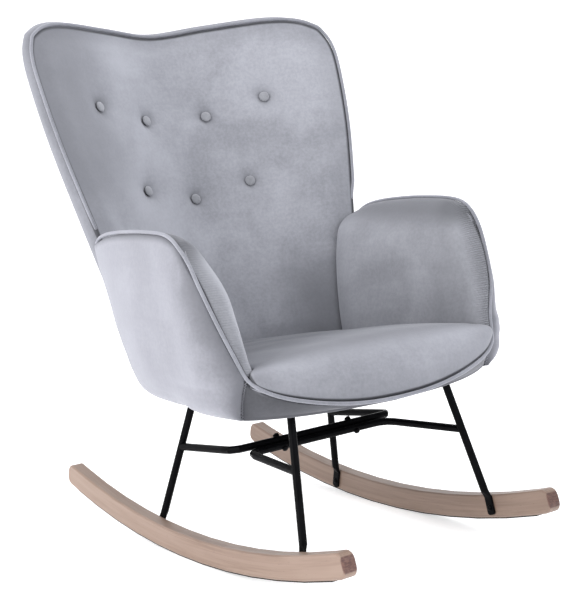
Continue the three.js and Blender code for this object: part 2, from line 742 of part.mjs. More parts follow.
// Assembly -------------------------------------------------------------------------------------
function mirrorX(geometry) {
  const flipped = geometry.clone();
  const position = flipped.attributes.position;
  for (let i = 0; i < position.count; i += 1) {
    position.setX(i, -position.getX(i));
  }
  const corners = flipped.index.array;
  for (let i = 0; i < corners.length; i += 3) {
    [corners[i], corners[i + 1]] = [corners[i + 1], corners[i]];
  }
  return flipped;
}

function drilled(geometry, holes) {
  return fromSolid(holes.reduce((solid, hole) => solid.subtract(toSolid(hole)), toSolid(geometry)));
}

// Screws and bolts: each is drawn with its head towards +Z and turned to face head.
function placeBolt(name, geometry, position, head) {
  const bolt = addMesh(name, geometry, BLACK_STEEL, position.toArray());
  bolt.quaternion.setFromUnitVectors(new THREE.Vector3(0, 0, 1), head);
}

const FOOT_SCREW = { head: 5, height: 3, shank: 2.5, length: 22, up: 13 };
const PLATE_SCREW = { head: 4, height: 2, shank: 2, length: 11, offset: 19 };
const BAR_BOLT = { head: 6, height: 4, shank: 3, x: 82 };
const NUT = { radius: 6.2, height: 5 };
const HOLE_SIDES = 10;
const PLATE_BOTTOM = FRAME_TOP + GAP;

function footScrewSeat(leg) {
  const up = leg.knee.clone().sub(leg.foot).setX(0).normalize();
  const seat = leg.foot.clone().addScaledVector(up, FOOT_SCREW.up);
  return seat.setX(TAB_X - TAB_THICKNESS / 2 - GAP);
}

function footScrewHole(leg) {
  const seat = footScrewSeat(leg);
  const end = seat.clone().setX(seat.x + FOOT_SCREW.length + GAP);
  return rodBetween(seat.setX(seat.x - 1), end, FOOT_SCREW.shank + GAP, HOLE_SIDES);
}

function plateScrewSeats(leg) {
  return [-1, 1].map((corner) => new THREE.Vector3(
    leg.top.x + corner * PLATE_SCREW.offset,
    leg.top.y + corner * PLATE_SCREW.offset,
    PLATE_BOTTOM - GAP,
  ));
}

function plateScrewHoles(leg) {
  return plateScrewSeats(leg).map((seat) => rodBetween(
    seat,
    seat.clone().setZ(seat.z + PLATE_SCREW.length + GAP),
    PLATE_SCREW.shank + GAP,
    HOLE_SIDES,
  ));
}

// The two crossbars lie against each other, and the bolts go through both along this direction.
const barStep = STRETCHER_CORNERS.rear.clone().sub(STRETCHER_CORNERS.front).setX(0);
const barDirection = barStep.clone().normalize();

function barPoint(side, beyond) {
  return STRETCHER_CORNERS.front.clone().setX(side * BAR_BOLT.x).addScaledVector(barDirection, beyond);
}

const barBoltEnd = barStep.length() + TUBE_RADIUS + GAP;
function barBoltHoles() {
  const length = barBoltEnd + 2 * TUBE_RADIUS;
  return [1, -1].map((side) => rodBetween(
    barPoint(side, -length),
    barPoint(side, length),
    BAR_BOLT.shank + GAP,
    HOLE_SIDES,
  ));
}

function nutGeometry() {
  const points = [];
  for (let corner = 0; corner < 6; corner += 1) {
    const angle = corner * 60 * DEG;
    points.push(new THREE.Vector2(NUT.radius * Math.cos(angle), NUT.radius * Math.sin(angle)));
  }
  const shape = new THREE.Shape(points);
  shape.holes.push(new THREE.Path().absarc(0, 0, BAR_BOLT.shank + GAP, 0, 2 * Math.PI, true));
  return new THREE.ExtrudeGeometry(shape, { depth: NUT.height, curveSegments: 5, bevelEnabled: false });
}

function addRockers() {
  const holes = Object.values(LEGS).map(footScrewHole);
  const rocker = rockerGeometry().translate(ROCKER_X, 0, 0);
  const left = drilled(rocker, holes);
  addMesh("rocker_left", left, BEECH);
  addMesh("rocker_right", mirrorX(left), BEECH);
  for (const [side, sign] of Object.entries(SIDES)) {
    addMesh(`anti_slip_strip_${side}`, stripGeometry(), BLACK_RUBBER, [sign * ROCKER_X, 0, 0]);
  }
}

function addLegs() {
  for (const [end, leg] of Object.entries(LEGS)) {
    const left = drilled(legGeometry(leg), [footScrewHole(leg)]);
    const square = new THREE.BoxGeometry(PLATE_SIZE, PLATE_SIZE, PLATE_THICKNESS);
    square.translate(leg.top.x, leg.top.y, PLATE_BOTTOM + PLATE_THICKNESS / 2);
    const plate = drilled(square, plateScrewHoles(leg));
    for (const [side, sign] of Object.entries(SIDES)) {
      const place = (geometry) => (sign > 0 ? geometry : mirrorX(geometry));
      const mirrorPoint = (point) => (sign > 0 ? point : mirrored(point));
      addMesh(`leg_${end}_${side}`, place(left), BLACK_STEEL);
      addMesh(`mounting_plate_${end}_${side}`, place(plate), BLACK_STEEL);
      const { head, height, shank, length } = FOOT_SCREW;
      placeBolt(
        `foot_screw_${end}_${side}`,
        boltGeometry(head, height, shank, length, 12),
        mirrorPoint(footScrewSeat(leg)),
        new THREE.Vector3(-sign, 0, 0),
      );
      plateScrewSeats(leg).forEach((seat, index) => placeBolt(
        `plate_screw_${end}_${side}_${index + 1}`,
        boltGeometry(PLATE_SCREW.head, PLATE_SCREW.height, PLATE_SCREW.shank, PLATE_SCREW.length, 8),
        mirrorPoint(seat),
        new THREE.Vector3(0, 0, -1),
      ));
    }
  }
}

function addStretchers() {
  for (const end of ["front", "rear"]) {
    const bar = stretcherGeometry(LEGS[end], STRETCHER_CORNERS[end]);
    addMesh(`stretcher_${end}`, drilled(bar, barBoltHoles()), BLACK_STEEL);
  }
  for (const [side, sign] of Object.entries(SIDES)) {
    const length = TUBE_RADIUS + GAP + barBoltEnd + NUT.height;
    placeBolt(
      `stretcher_bolt_${side}`,
      boltGeometry(BAR_BOLT.head, BAR_BOLT.height, BAR_BOLT.shank, length, 12),
      barPoint(sign, -TUBE_RADIUS - GAP),
      barDirection.clone().negate(),
    );
    placeBolt(`stretcher_nut_${side}`, nutGeometry(), barPoint(sign, barBoltEnd), barDirection);
  }
}

function addSeat() {
  const holes = Object.values(LEGS).flatMap(plateScrewHoles);
  const allHoles = [...holes, ...holes.map((hole) => mirrorX(closed(hole)))];
  const board = new THREE.ExtrudeGeometry(seatBoardShape(), {
    depth: SEAT_BOARD_THICKNESS,
    bevelEnabled: false,
  });
  addMesh("seat_board", drilled(board.translate(0, 0, SEAT_BOARD_BOTTOM), allHoles), PLYWOOD);
  const cloth = new THREE.ExtrudeGeometry(seatBoardShape(), {
    depth: DUST_COVER_THICKNESS,
    bevelEnabled: false,
  });
  cloth.translate(0, 0, SEAT_BOARD_BOTTOM - GAP - DUST_COVER_THICKNESS);
  addMesh("dust_cover", drilled(cloth, allHoles), FABRIC_DARK);
  addMesh("seat_pad", seatPadGeometry(), FABRIC);
  addMesh("front_apron", apronGeometry(), FABRIC);
  addMesh("tub_piping", closed(barAlong(tubPipingPath(), PIPING_RADIUS, 3, 84)), FABRIC);
}

function addArms() {
  for (const [side, sign] of Object.entries(SIDES)) {
    addMesh(`arm_outer_pad_${side}`, armOuterPadGeometry(sign), FABRIC);
    addMesh(`arm_board_${side}`, armBoardGeometry(sign), PLYWOOD);
    addMesh(`arm_inner_pad_${side}`, armInnerPadGeometry(sign), FABRIC);
  }
}

function addBack() {
  const boardFront = (soft) => foamDepth(soft) + SOFT_GAP / 2;
  const boardRear = (soft) => foamDepth(soft) + BOARD_THICKNESS - SOFT_GAP / 2;
  const outerFront = (soft) => foamDepth(soft) + BOARD_THICKNESS;
  const outerRear = (soft) => soft + BOARD_THICKNESS;
  const board = backLayer(boardFront, boardRear, 0.015, BACK_CELLS_A, BACK_CELLS_C);
  const outer = backLayer(outerFront, outerRear, 0, BACK_CELLS_A, BACK_CELLS_C);
  addMesh("back_pad", backFoamGeometry(), FABRIC);
  addMesh("back_board", board, PLYWOOD);
  addMesh("back_outer_pad", outer, FABRIC);
  addMesh("back_piping", closed(barAlong(backPipingPath(), PIPING_RADIUS, 3, 64)), FABRIC);
  BUTTONS.forEach((button, index) => {
    const seat = buttonSeat(button, DIMPLE_DEPTH - GAP);
    addMesh(`back_button_${index + 1}`, buttonGeometry(button), FABRIC, seat.toArray());
  });
}

addRockers();
addLegs();
addStretchers();
addSeat();
addArms();
addBack();

export default chair;
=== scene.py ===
"""The looks of the rocking chair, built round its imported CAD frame. Metres, +Z up, the chair faces -Y."""

import math

import bpy
import numpy as np
from mathutils import Matrix, Vector


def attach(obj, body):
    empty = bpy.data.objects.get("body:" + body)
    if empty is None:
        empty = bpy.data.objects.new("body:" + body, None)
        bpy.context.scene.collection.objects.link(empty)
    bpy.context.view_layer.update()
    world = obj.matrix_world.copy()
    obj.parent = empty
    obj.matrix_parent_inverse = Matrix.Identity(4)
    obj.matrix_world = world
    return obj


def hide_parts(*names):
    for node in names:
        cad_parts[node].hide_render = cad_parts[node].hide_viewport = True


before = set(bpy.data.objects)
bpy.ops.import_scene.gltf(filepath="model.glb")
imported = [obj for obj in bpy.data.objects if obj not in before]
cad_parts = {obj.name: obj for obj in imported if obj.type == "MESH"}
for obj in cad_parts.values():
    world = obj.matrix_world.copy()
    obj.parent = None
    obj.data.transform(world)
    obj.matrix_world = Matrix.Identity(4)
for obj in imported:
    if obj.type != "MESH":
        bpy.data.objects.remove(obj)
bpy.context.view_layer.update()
MM = 0.001
# The arc of the rockers' undersides, in metres, and the angles between which their end faces begin.
ROCKER_RADIUS = 1.564
END_GRAIN_FROM, END_GRAIN_TO = 0.2912, 0.2924
# The camera's place in metres, and its right, up and forward directions.
CAMERA_PLACE = (-1.48410, -2.07455, 0.76804)
CAMERA_RIGHT = (0.80117, -0.59398, -0.07293)
CAMERA_UP = (0.13543, 0.06126, 0.98889)
CAMERA_AHEAD = (0.58291, 0.80215, -0.12952)

# ------------------------------------------------------------------ small maths


def lerp(a, b, t):
    return a + (b - a) * t


def clamp01(t):
    return np.clip(t, 0.0, 1.0)


def smooth(t):
    t = clamp01(t)
    return t * t * (3 - 2 * t)


def spline(points, t):
    """Catmull-Rom curve through the points, t from 0 to 1."""
    p = np.asarray(points, float)
    last = len(p) - 1
    s = np.clip(np.asarray(t, float), 0, 1) * last
    i = np.minimum(s.astype(int), last - 1)
    w = (s - i)[..., None]
    p0, p1, p2, p3 = p[np.maximum(i - 1, 0)], p[i], p[i + 1], p[np.minimum(i + 2, last)]
    v0, v1 = (p2 - p0) * 0.5, (p3 - p1) * 0.5
    return (2 * p1 - 2 * p2 + v0 + v1) * w**3 + (-3 * p1 + 3 * p2 - 2 * v0 - v1) * w**2 + v0 * w + p1


def even(points, count, closed=False):
    """The polyline resampled at even steps of length."""
    p = np.asarray(points, float)
    if closed:
        p = np.vstack([p, p[:1]])
    step = np.linalg.norm(np.diff(p, axis=0), axis=1)
    at = np.concatenate([[0], np.cumsum(step)])
    want = np.linspace(0, at[-1], count + 1)[:-1] if closed else np.linspace(0, at[-1], count)
    return np.stack([np.interp(want, at, p[:, k]) for k in range(p.shape[1])], 1)


def distance_to(line, points):
    """Distance of each point from a polyline, and how far along it the nearest place is."""
    a, b = line[:-1], line[1:]
    ab = b - a
    run = np.concatenate([[0], np.cumsum(np.linalg.norm(ab, axis=1))])
    best = np.full(len(points), 1e9)
    along = np.zeros(len(points))
    for k in range(len(a)):
        t = clamp01(((points - a[k]) @ ab[k]) / max(ab[k] @ ab[k], 1e-9))
        d = np.linalg.norm(points - a[k] - t[:, None] * ab[k], axis=1)
        near = d < best
        best[near] = d[near]
        along[near] = (run[k] + t * (run[k + 1] - run[k]))[near]
    return best, along


def ripple(x, y, size, seed):
    """Smooth unevenness between about -1 and 1, with features of about the given size."""
    rng = np.random.RandomState(seed)
    total = np.zeros_like(np.asarray(x, float))
    for _ in range(7):
        angle = rng.uniform(0, 2 * math.pi)
        wave = 2 * math.pi / (size * rng.uniform(0.8, 2.2))
        total += np.sin((x * math.cos(angle) + y * math.sin(angle)) * wave + rng.uniform(0, 6.28))
    return total / 4.0


def clustered(edge_low, edge_high, near, length, middle):
    """Values from 0 to 1, closer together near the ends where a radius needs them."""
    values = [0.0]
    if near and edge_low:
        values += list(np.linspace(0, edge_low / length, near + 1)[1:])
    start, stop = values[-1], 1 - edge_high / length if edge_high else 1.0
    values += list(np.linspace(start, stop, middle + 1)[1:])
    if edge_high:
        values += list(np.linspace(stop, 1, near + 1)[1:])
    return np.array(values)


# ------------------------------------------------------------------ meshes


def box_grid(A, B, C):
    """The closed surface of a box of cells: parameters of each vertex, and the quads."""
    size = (len(A) - 1, len(B) - 1, len(C) - 1)
    index, params, faces = {}, [], []

    def vid(i, j, k):
        key = (i, j, k)
        if key not in index:
            index[key] = len(params)
            params.append((A[i], B[j], C[k]))
        return index[key]

    for axis in range(3):
        u, v = (axis + 1) % 3, (axis + 2) % 3
        for end in (0, size[axis]):
            for p in range(size[u]):
                for q in range(size[v]):
                    ring = []
                    for dp, dq in ((0, 0), (1, 0), (1, 1), (0, 1)):
                        cell = [0, 0, 0]
                        cell[axis], cell[u], cell[v] = end, p + dp, q + dq
                        ring.append(vid(*cell))
                    faces.append(ring if end else ring[::-1])
    return np.array(params), faces


def loft(rings):
    """Quads between closed rings of points, and a fan at each end."""
    rings = [np.asarray(r, float) for r in rings]
    n = len(rings[0])
    verts = np.vstack(rings)
    faces = []
    for k in range(len(rings) - 1):
        for i in range(n):
            j = (i + 1) % n
            faces.append([k * n + i, k * n + j, (k + 1) * n + j, (k + 1) * n + i])
    verts = np.vstack([verts, rings[0].mean(0), rings[-1].mean(0)])
    first, last = len(verts) - 2, len(verts) - 1
    base = (len(rings) - 1) * n
    for i in range(n):
        j = (i + 1) % n
        faces.append([j, i, first])
        faces.append([base + i, base + j, last])
    return verts, faces


def outward(verts, faces):
    """The faces turned so that the body's volume is positive."""
    volume = 0.0
    for f in faces:
        for k in range(1, len(f) - 1):
            volume += np.dot(verts[f[0]], np.cross(verts[f[k]], verts[f[k + 1]]))
    return faces if volume > 0 else [f[::-1] for f in faces]


def add_piece(name, verts, faces, materials, body="root", face_material=None, attributes=None):
    """A smooth-shaded mesh object from points in millimetres, riding on its CAD body."""
    mesh = bpy.data.meshes.new(name)
    faces = outward(verts, faces)
    mesh.from_pydata((np.asarray(verts) * MM).tolist(), [], faces)
    for material in materials if isinstance(materials, (list, tuple)) else [materials]:
        mesh.materials.append(material)
    if face_material is not None:
        mesh.polygons.foreach_set("material_index", np.asarray(face_material, np.int32))
    mesh.polygons.foreach_set("use_smooth", [True] * len(mesh.polygons))
    for key, values in (attributes or {}).items():
        layer = mesh.attributes.new(key, "FLOAT", "POINT")
        layer.data.foreach_set("value", np.asarray(values, np.float32))
    mesh.update()
    obj = bpy.data.objects.new(name, mesh)
    bpy.context.scene.collection.objects.link(obj)
    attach(obj, body)
    return obj


def joined(parts):
    """Several closed bodies as one list of points and faces."""
    verts, faces, count = [], [], 0
    for part_verts, part_faces in parts:
        faces += [[i + count for i in f] for f in outward(part_verts, part_faces)]
        verts.append(part_verts)
        count += len(part_verts)
    return np.vstack(verts), faces


def mirror(verts):
    return np.asarray(verts) * np.array([-1.0, 1.0, 1.0])


def tube(path, radius, sides, wobble=0.0, seed=1):
    """A round cord along a path, with slightly uneven thickness, and rounded ends."""
    path = np.asarray(path, float)
    tangent = np.gradient(path, axis=0)
    tangent /= np.linalg.norm(tangent, axis=1)[:, None]
    normal = np.zeros_like(path)
    guide = np.array([0.0, 0.0, 1.0]) if abs(tangent[0][2]) < 0.9 else np.array([1.0, 0.0, 0.0])
    guide = guide - tangent[0] * (guide @ tangent[0])
    normal[0] = guide / np.linalg.norm(guide)
    for i in range(1, len(path)):
        step = normal[i - 1] - tangent[i] * (normal[i - 1] @ tangent[i])
        normal[i] = step / np.linalg.norm(step)
    binormal = np.cross(tangent, normal)
    run = np.concatenate([[0], np.cumsum(np.linalg.norm(np.diff(path, axis=0), axis=1))])
    size = radius * (1 + wobble * ripple(run, run * 0.31, 14, seed))
    angles = np.linspace(0, 2 * math.pi, sides, endpoint=False)

    def circle(i, share=1.0):
        turned = np.cos(angles)[:, None] * normal[i] + np.sin(angles)[:, None] * binormal[i]
        return share * size[i] * turned

    ends = [(-0.9, 0.25), (-0.6, 0.75)]
    rings = [path[0] + tangent[0] * back * radius + circle(0, share) for back, share in ends]
    rings += [path[i] + circle(i) for i in range(len(path))]
    rings += [path[-1] - tangent[-1] * back * radius + circle(-1, share) for back, share in reversed(ends)]
    return loft(rings)


# ------------------------------------------------------------------ materials


class Nodes:
    """A short way to build a material's nodes."""

    def __init__(self, name):
        self.material = bpy.data.materials.new(name)
        self.material.use_nodes = True
        self.tree = self.material.node_tree
        self.tree.nodes.clear()
        self.out = self.add("ShaderNodeOutputMaterial")
        self.bsdf = self.add("ShaderNodeBsdfPrincipled")
        self.link(self.bsdf.outputs[0], self.out.inputs[0])
        self.place = self.add("ShaderNodeTexCoord").outputs["Object"]

    def add(self, kind, **values):
        node = self.tree.nodes.new(kind)
        for key, value in values.items():
            setattr(node, key, value)
        return node

    def link(self, a, b):
        self.tree.links.new(a, b)

    def put(self, socket, value):
        if isinstance(value, bpy.types.NodeSocket):
            self.link(value, socket)
        else:
            socket.default_value = value

    def scaled(self, scale, source=None, offset=(0, 0, 0)):
        node = self.add("ShaderNodeMapping")
        self.link(source or self.place, node.inputs["Vector"])
        node.inputs["Scale"].default_value = scale
        node.inputs["Location"].default_value = offset
        return node.outputs[0]

    def noise(self, scale, detail=3.0, rough=0.5, source=None, distortion=0.0):
        node = self.add("ShaderNodeTexNoise")
        self.link(source or self.place, node.inputs["Vector"])
        node.inputs["Scale"].default_value = scale
        node.inputs["Detail"].default_value = detail
        node.inputs["Roughness"].default_value = rough
        node.inputs["Distortion"].default_value = distortion
        return node.outputs["Fac"]

    def math(self, operation, a, b=0.0, c=None):
        node = self.add("ShaderNodeMath", operation=operation)
        self.put(node.inputs[0], a)
        self.put(node.inputs[1], b)
        if c is not None:
            self.put(node.inputs[2], c)
        return node.outputs[0]

    def ramp(self, value, low, high, to_low=0.0, to_high=1.0):
        node = self.add("ShaderNodeMapRange", interpolation_type="SMOOTHSTEP")
        self.put(node.inputs["Value"], value)
        for key, number in zip(("From Min", "From Max", "To Min", "To Max"), (low, high, to_low, to_high)):
            node.inputs[key].default_value = number
        return node.outputs[0]

    def mix(self, factor, a, b, blend="MIX"):
        node = self.add("ShaderNodeMix", data_type="RGBA", blend_type=blend)
        self.put(node.inputs["Factor"], factor)
        self.put(node.inputs["A"], a if isinstance(a, bpy.types.NodeSocket) else (*a, 1.0))
        self.put(node.inputs["B"], b if isinstance(b, bpy.types.NodeSocket) else (*b, 1.0))
        return node.outputs["Result"]

    def bump(self, height, strength, distance, normal=None):
        node = self.add("ShaderNodeBump")
        self.put(node.inputs["Height"], height)
        node.inputs["Strength"].default_value = strength
        node.inputs["Distance"].default_value = distance
        if normal is not None:
            self.link(normal, node.inputs["Normal"])
        return node.outputs[0]

    def attribute(self, name):
        node = self.add("ShaderNodeAttribute", attribute_name=name)
        return node.outputs["Fac"]

    def set(self, **values):
        for key, value in values.items():
            self.put(self.bsdf.inputs[key.replace("_", " ")], value)
        return self.material


VELVET_DEEP, VELVET_PALE = (0.205, 0.210, 0.232), (0.312, 0.318, 0.350)


def shaded(colour, factor):
    return tuple(c * factor for c in colour)


def velvet(name, painted_light=(1.0, 1.0, 1.0), shade_painted=True, band=0.3, gather=False, seed=0.0):
    """Short-pile velvet: cloudy nap, faint streaks where it was brushed, a fine pile and a soft sheen. Part
    of the
    sheen is painted: the base colour turns paler where the surface is seen at a grazing angle.

    Its tint makes the whole velvet lighter or darker for each piece, as painted light and shade. With creased
    set, painted shade is laid into the base colour by two values that each point carries: seam_d, about its
    distance from a seam in millimetres, which darkens a line in each seam and a band beside it as strong as
    band, and dusk, how dim that part of the chair is. A gathered one has small folds beside its piping, from
    edge_d and edge_s, the distances from the edge and along it, and gathered, how strong they are; the folds'
    valleys are darkened as painted shade.
    """
    n = Nodes(name)
    where = n.scaled((1, 1, 1), offset=(seed, seed * 0.7, seed * 1.3))
    clouds = n.noise(7.5, 3.0, 0.55, where, 0.6)
    brushed = n.noise(1.0, 3.0, 0.6, n.scaled((55, 55, 14), where), 0.4)
    crossed = n.noise(1.0, 2.0, 0.6, n.scaled((16, 16, 75), where), 0.3)
    pile = n.noise(1400.0, 2.0, 0.7, where)
    # deep and pale are scaled by the piece's own level, as painted light and shade.
    deep = tuple(c * t for c, t in zip(VELVET_DEEP, painted_light))
    pale = tuple(c * t for c, t in zip(VELVET_PALE, painted_light))
    shade = n.math("ADD", n.ramp(clouds, 0.3, 0.7, 0.1, 0.72), n.ramp(brushed, 0.3, 0.75, 0.0, 0.16))
    shade = n.math("ADD", shade, n.ramp(crossed, 0.35, 0.75, 0.0, 0.14))
    mottle = n.noise(170.0, 3.0, 0.65, where)
    shade = n.math("ADD", shade, n.ramp(mottle, 0.3, 0.7, -0.17, 0.17))
    shade = n.math("ADD", shade, n.ramp(pile, 0.25, 0.75, -0.09, 0.09))
    base = n.mix(shade, deep, pale)
    # Painted sheen: the base colour turns paler where the surface is seen at a grazing angle.
    edge = n.add("ShaderNodeLayerWeight")
    edge.inputs["Blend"].default_value = 0.5
    base = n.mix(n.ramp(edge.outputs["Facing"], 0.0, 0.8, 0.0, 0.62), base, shaded(pale, 1.5))
    # Painted shade: a dark line in each seam, a wider darker band beside it, and the dim parts of the chair
    # darkened.
    if shade_painted:
        seam = n.attribute("seam_d")
        base = n.mix(n.ramp(seam, 6.0, 54.0, band, 0.0), base, shaded(deep, 0.8))
        base = n.mix(n.ramp(seam, 2.4, 5.6, 0.88, 0.0), base, shaded(deep, 0.2))
        base = n.mix(n.attribute("painted_shade"), base, shaded(deep, 0.66))
    tufts = n.noise(330.0, 2.0, 0.6, where)
    height = n.math("ADD", n.math("MULTIPLY", pile, 0.5), n.math("MULTIPLY", tufts, 0.5))
    normal = n.bump(height, 0.35, 0.0006)
    normal = n.bump(brushed, 0.25, 0.002, normal)
    if gather:
        d, s = n.attribute("edge_d"), n.attribute("edge_s")
        wave = n.add("ShaderNodeTexWave", bands_direction="X", wave_profile="SIN")
        join = n.add("ShaderNodeCombineXYZ")
        n.link(s, join.inputs[0])
        n.link(n.math("MULTIPLY", d, 0.12), join.inputs[1])
        n.link(join.outputs[0], wave.inputs["Vector"])
        wave.inputs["Scale"].default_value = 0.075
        wave.inputs["Distortion"].default_value = 2.0
        wave.inputs["Detail"].default_value = 2.0
        near = n.math("MULTIPLY", n.ramp(d, 2.0, 20.0, 1.0, 0.0), n.attribute("gathered"))
        # Painted shade in the valleys of the gathered folds.
        fold_shade = n.math("MULTIPLY", n.ramp(wave.outputs["Fac"], 0.0, 0.45, 0.5, 0.0), near)
        base = n.mix(fold_shade, base, shaded(deep, 0.5))
        normal = n.bump(n.math("MULTIPLY", wave.outputs["Fac"], near), 0.9, 0.0018, normal)
    return n.set(Base_Color=base, Roughness=0.85, Normal=normal, Sheen_Weight=0.3,
                 Sheen_Roughness=0.35, Sheen_Tint=(0.93, 0.94, 1.0, 1.0), Specular_IOR_Level=0.12)


def beech(name, seed, shade_level):
    """Satin-lacquered beech with its grain and flecks running along the bent rocker."""
    n = Nodes(name)

    # Every colour is scaled by tone, which darkens a rocker as painted shade.
    def toned(*colour):
        return shaded(colour, shade_level)

    split = n.add("ShaderNodeSeparateXYZ")
    n.link(n.place, split.inputs[0])
    up = n.math("SUBTRACT", ROCKER_RADIUS, split.outputs["Z"])
    radius = n.math("SQRT", n.math("ADD", n.math("MULTIPLY", up, up),
                                   n.math("MULTIPLY", split.outputs["Y"], split.outputs["Y"])))
    angle = n.math("ARCTAN2", split.outputs["Y"], up)
    join = n.add("ShaderNodeCombineXYZ")
    n.link(n.math("MULTIPLY", angle, ROCKER_RADIUS), join.inputs[0])
    n.link(split.outputs["X"], join.inputs[1])
    n.link(radius, join.inputs[2])
    where = n.scaled((1, 1, 1), join.outputs[0], (seed, seed, seed))
    broad = n.noise(1.0, 3.0, 0.55, n.scaled((3.2, 42, 42), where), 1.2)
    lines = n.noise(1.0, 4.0, 0.65, n.scaled((5, 260, 260), where), 0.5)
    flecks = n.noise(1.0, 2.0, 0.5, n.scaled((95, 900, 700), where))
    patches = n.noise(1.0, 2.0, 0.5, n.scaled((5, 10, 10), where))
    colour = n.mix(n.ramp(broad, 0.3, 0.7), toned(0.295, 0.208, 0.162), toned(0.235, 0.158, 0.12))
    colour = n.mix(n.ramp(lines, 0.45, 0.75, 0.0, 0.45), colour, toned(0.17, 0.105, 0.075))
    colour = n.mix(n.ramp(patches, 0.35, 0.7, 0.0, 0.35), colour, toned(0.345, 0.252, 0.203))
    colour = n.mix(n.ramp(flecks, 0.66, 0.74, 0.0, 0.5), colour, toned(0.12, 0.068, 0.048))
    rings = n.noise(1.0, 3.0, 0.6, n.scaled((0.01, 150, 420), where), 0.5)
    end_grain = n.mix(n.ramp(rings, 0.35, 0.65), toned(0.085, 0.038, 0.032), toned(0.16, 0.082, 0.064))
    end = n.ramp(n.math("ABSOLUTE", angle), END_GRAIN_FROM, END_GRAIN_TO)
    colour = n.mix(end, colour, end_grain)
    normal = n.bump(n.math("SUBTRACT", lines, n.ramp(flecks, 0.66, 0.74)), 0.25, 0.0003)
    rough = n.ramp(lines, 0.2, 0.8, 0.42, 0.58)
    return n.set(Base_Color=colour, Roughness=rough, Normal=normal, Coat_Weight=0.15,
                 Coat_Roughness=0.3, Specular_IOR_Level=0.4)


def plywood(name):
    """Raw plywood: pale veneer with layers along its edge."""
    n = Nodes(name)
    grain = n.noise(1.0, 4.0, 0.6, n.scaled((90, 6, 300)), 1.0)
    colour = n.mix(n.ramp(grain, 0.3, 0.7), (0.56, 0.41, 0.24), (0.43, 0.29, 0.16))
    return n.set(Base_Color=colour, Roughness=0.75, Normal=n.bump(grain, 0.3, 0.0004))


def black_steel(name, gloss=0.36):
    """Black powder coat: near-black, semi-gloss, with a fine orange peel and dust in it."""
    n = Nodes(name)
    peel = n.noise(900.0, 3.0, 0.6)
    patches = n.noise(40.0, 3.0, 0.6)
    dust = n.noise(2600.0, 1.0, 0.5)
    colour = n.mix(n.ramp(patches, 0.3, 0.7), (0.002, 0.002, 0.0025), (0.004, 0.004, 0.005))
    colour = n.mix(n.ramp(dust, 0.72, 0.82, 0.0, 0.25), colour, (0.05, 0.05, 0.055))
    rough = n.ramp(patches, 0.25, 0.75, gloss - 0.04, gloss + 0.08)
    return n.set(Base_Color=colour, Roughness=rough, Normal=n.bump(peel, 0.18, 0.0002),
                 Specular_IOR_Level=0.035)


def rubber(name):
    """Matte black rubber strip with a fine moulded grain."""
    n = Nodes(name)
    grain = n.noise(1100.0, 2.0, 0.6)
    scuffs = n.noise(60.0, 4.0, 0.65)
    colour = n.mix(n.ramp(scuffs, 0.45, 0.8), (0.012, 0.012, 0.012), (0.04, 0.039, 0.037))
    return n.set(Base_Color=colour, Roughness=n.ramp(scuffs, 0.2, 0.8, 0.75, 0.95),
                 Normal=n.bump(grain, 0.4, 0.0003), Specular_IOR_Level=0.3)


def dust_cloth(name):
    """Thin black non-woven cloth: pressed fibres with a grid of small bonded dots."""
    n = Nodes(name)
    fibres = n.noise(1.0, 4.0, 0.7, n.scaled((700, 2200, 700)), 2.0)
    dots = n.add("ShaderNodeTexVoronoi")
    n.link(n.place, dots.inputs["Vector"])
    dots.inputs["Scale"].default_value = 420.0
    colour = n.mix(n.ramp(fibres, 0.3, 0.7), (0.012, 0.012, 0.013), (0.035, 0.035, 0.038))
    height = n.math("ADD", fibres, n.ramp(dots.outputs["Distance"], 0.1, 0.35))
    return n.set(Base_Color=colour, Roughness=0.95, Normal=n.bump(height, 0.4, 0.0004))


# One velvet on every piece, made lighter or darker per piece as painted light and shade: the back lit up, the
# shells, sides, piping and buttons darkened, and the apron under the seat's front darkest. band sets how
# strong each piece's painted shade beside its seams is.
VELVET = velvet("velvet", painted_light=(0.96, 0.96, 0.97))
VELVET_BACK = velvet("velvet_back", painted_light=(1.08, 1.08, 1.09))
VELVET_ARM = velvet("velvet_arm", gather=True, seed=2.0)
VELVET_SHELL = velvet("velvet_shell", painted_light=(0.82, 0.815, 0.83), band=0.8, seed=5.0)
VELVET_REAR = velvet("velvet_rear", painted_light=(0.68, 0.68, 0.69), shade_painted=False, seed=5.0)
VELVET_APRON = velvet("velvet_apron", painted_light=(0.28, 0.28, 0.285), shade_painted=False, seed=5.0)
VELVET_PIPING = velvet("velvet_piping", painted_light=(0.84, 0.84, 0.86), shade_painted=False, seed=9.0)
VELVET_BUTTON = velvet("velvet_button", painted_light=(0.93, 0.93, 0.92), band=0.0, seed=12.0)
# The left rocker, the far one, is made darker as painted shade from the chair above it.
BEECH = {"left": beech("beech_left", 1.7, 0.78), "right": beech("beech_right", 4.1, 0.97)}
PLYWOOD = plywood("plywood")
STEEL = black_steel("black_powder_coat")
FIXING = black_steel("blackened_fixing", 0.3)
RUBBER = rubber("rubber_strip")
CLOTH = dust_cloth("dust_cloth")

# ------------------------------------------------------------------ the back's shape
BACK_BOTTOM, BACK_TOP, EAR = 325.0, 945.0, (324.0, 945.0)
BACK_SIDE = [(236, 325), (262, 450), (295, 600), (325, 745), (339, 860), (338, 912), EAR]
BACK_RIM = [EAR, (288, 962), (230, 967), (115, 957), (0, 945),
            (-115, 957), (-230, 967), (-288, 962), (-324, 945)]
BUTTONS = [(-186.5, 815), (-67, 783), (67, 783), (186.5, 815), (-115.5, 650), (0, 624), (115.5, 650)]
BACK_CENTRE = np.array([0.0, 660.0])
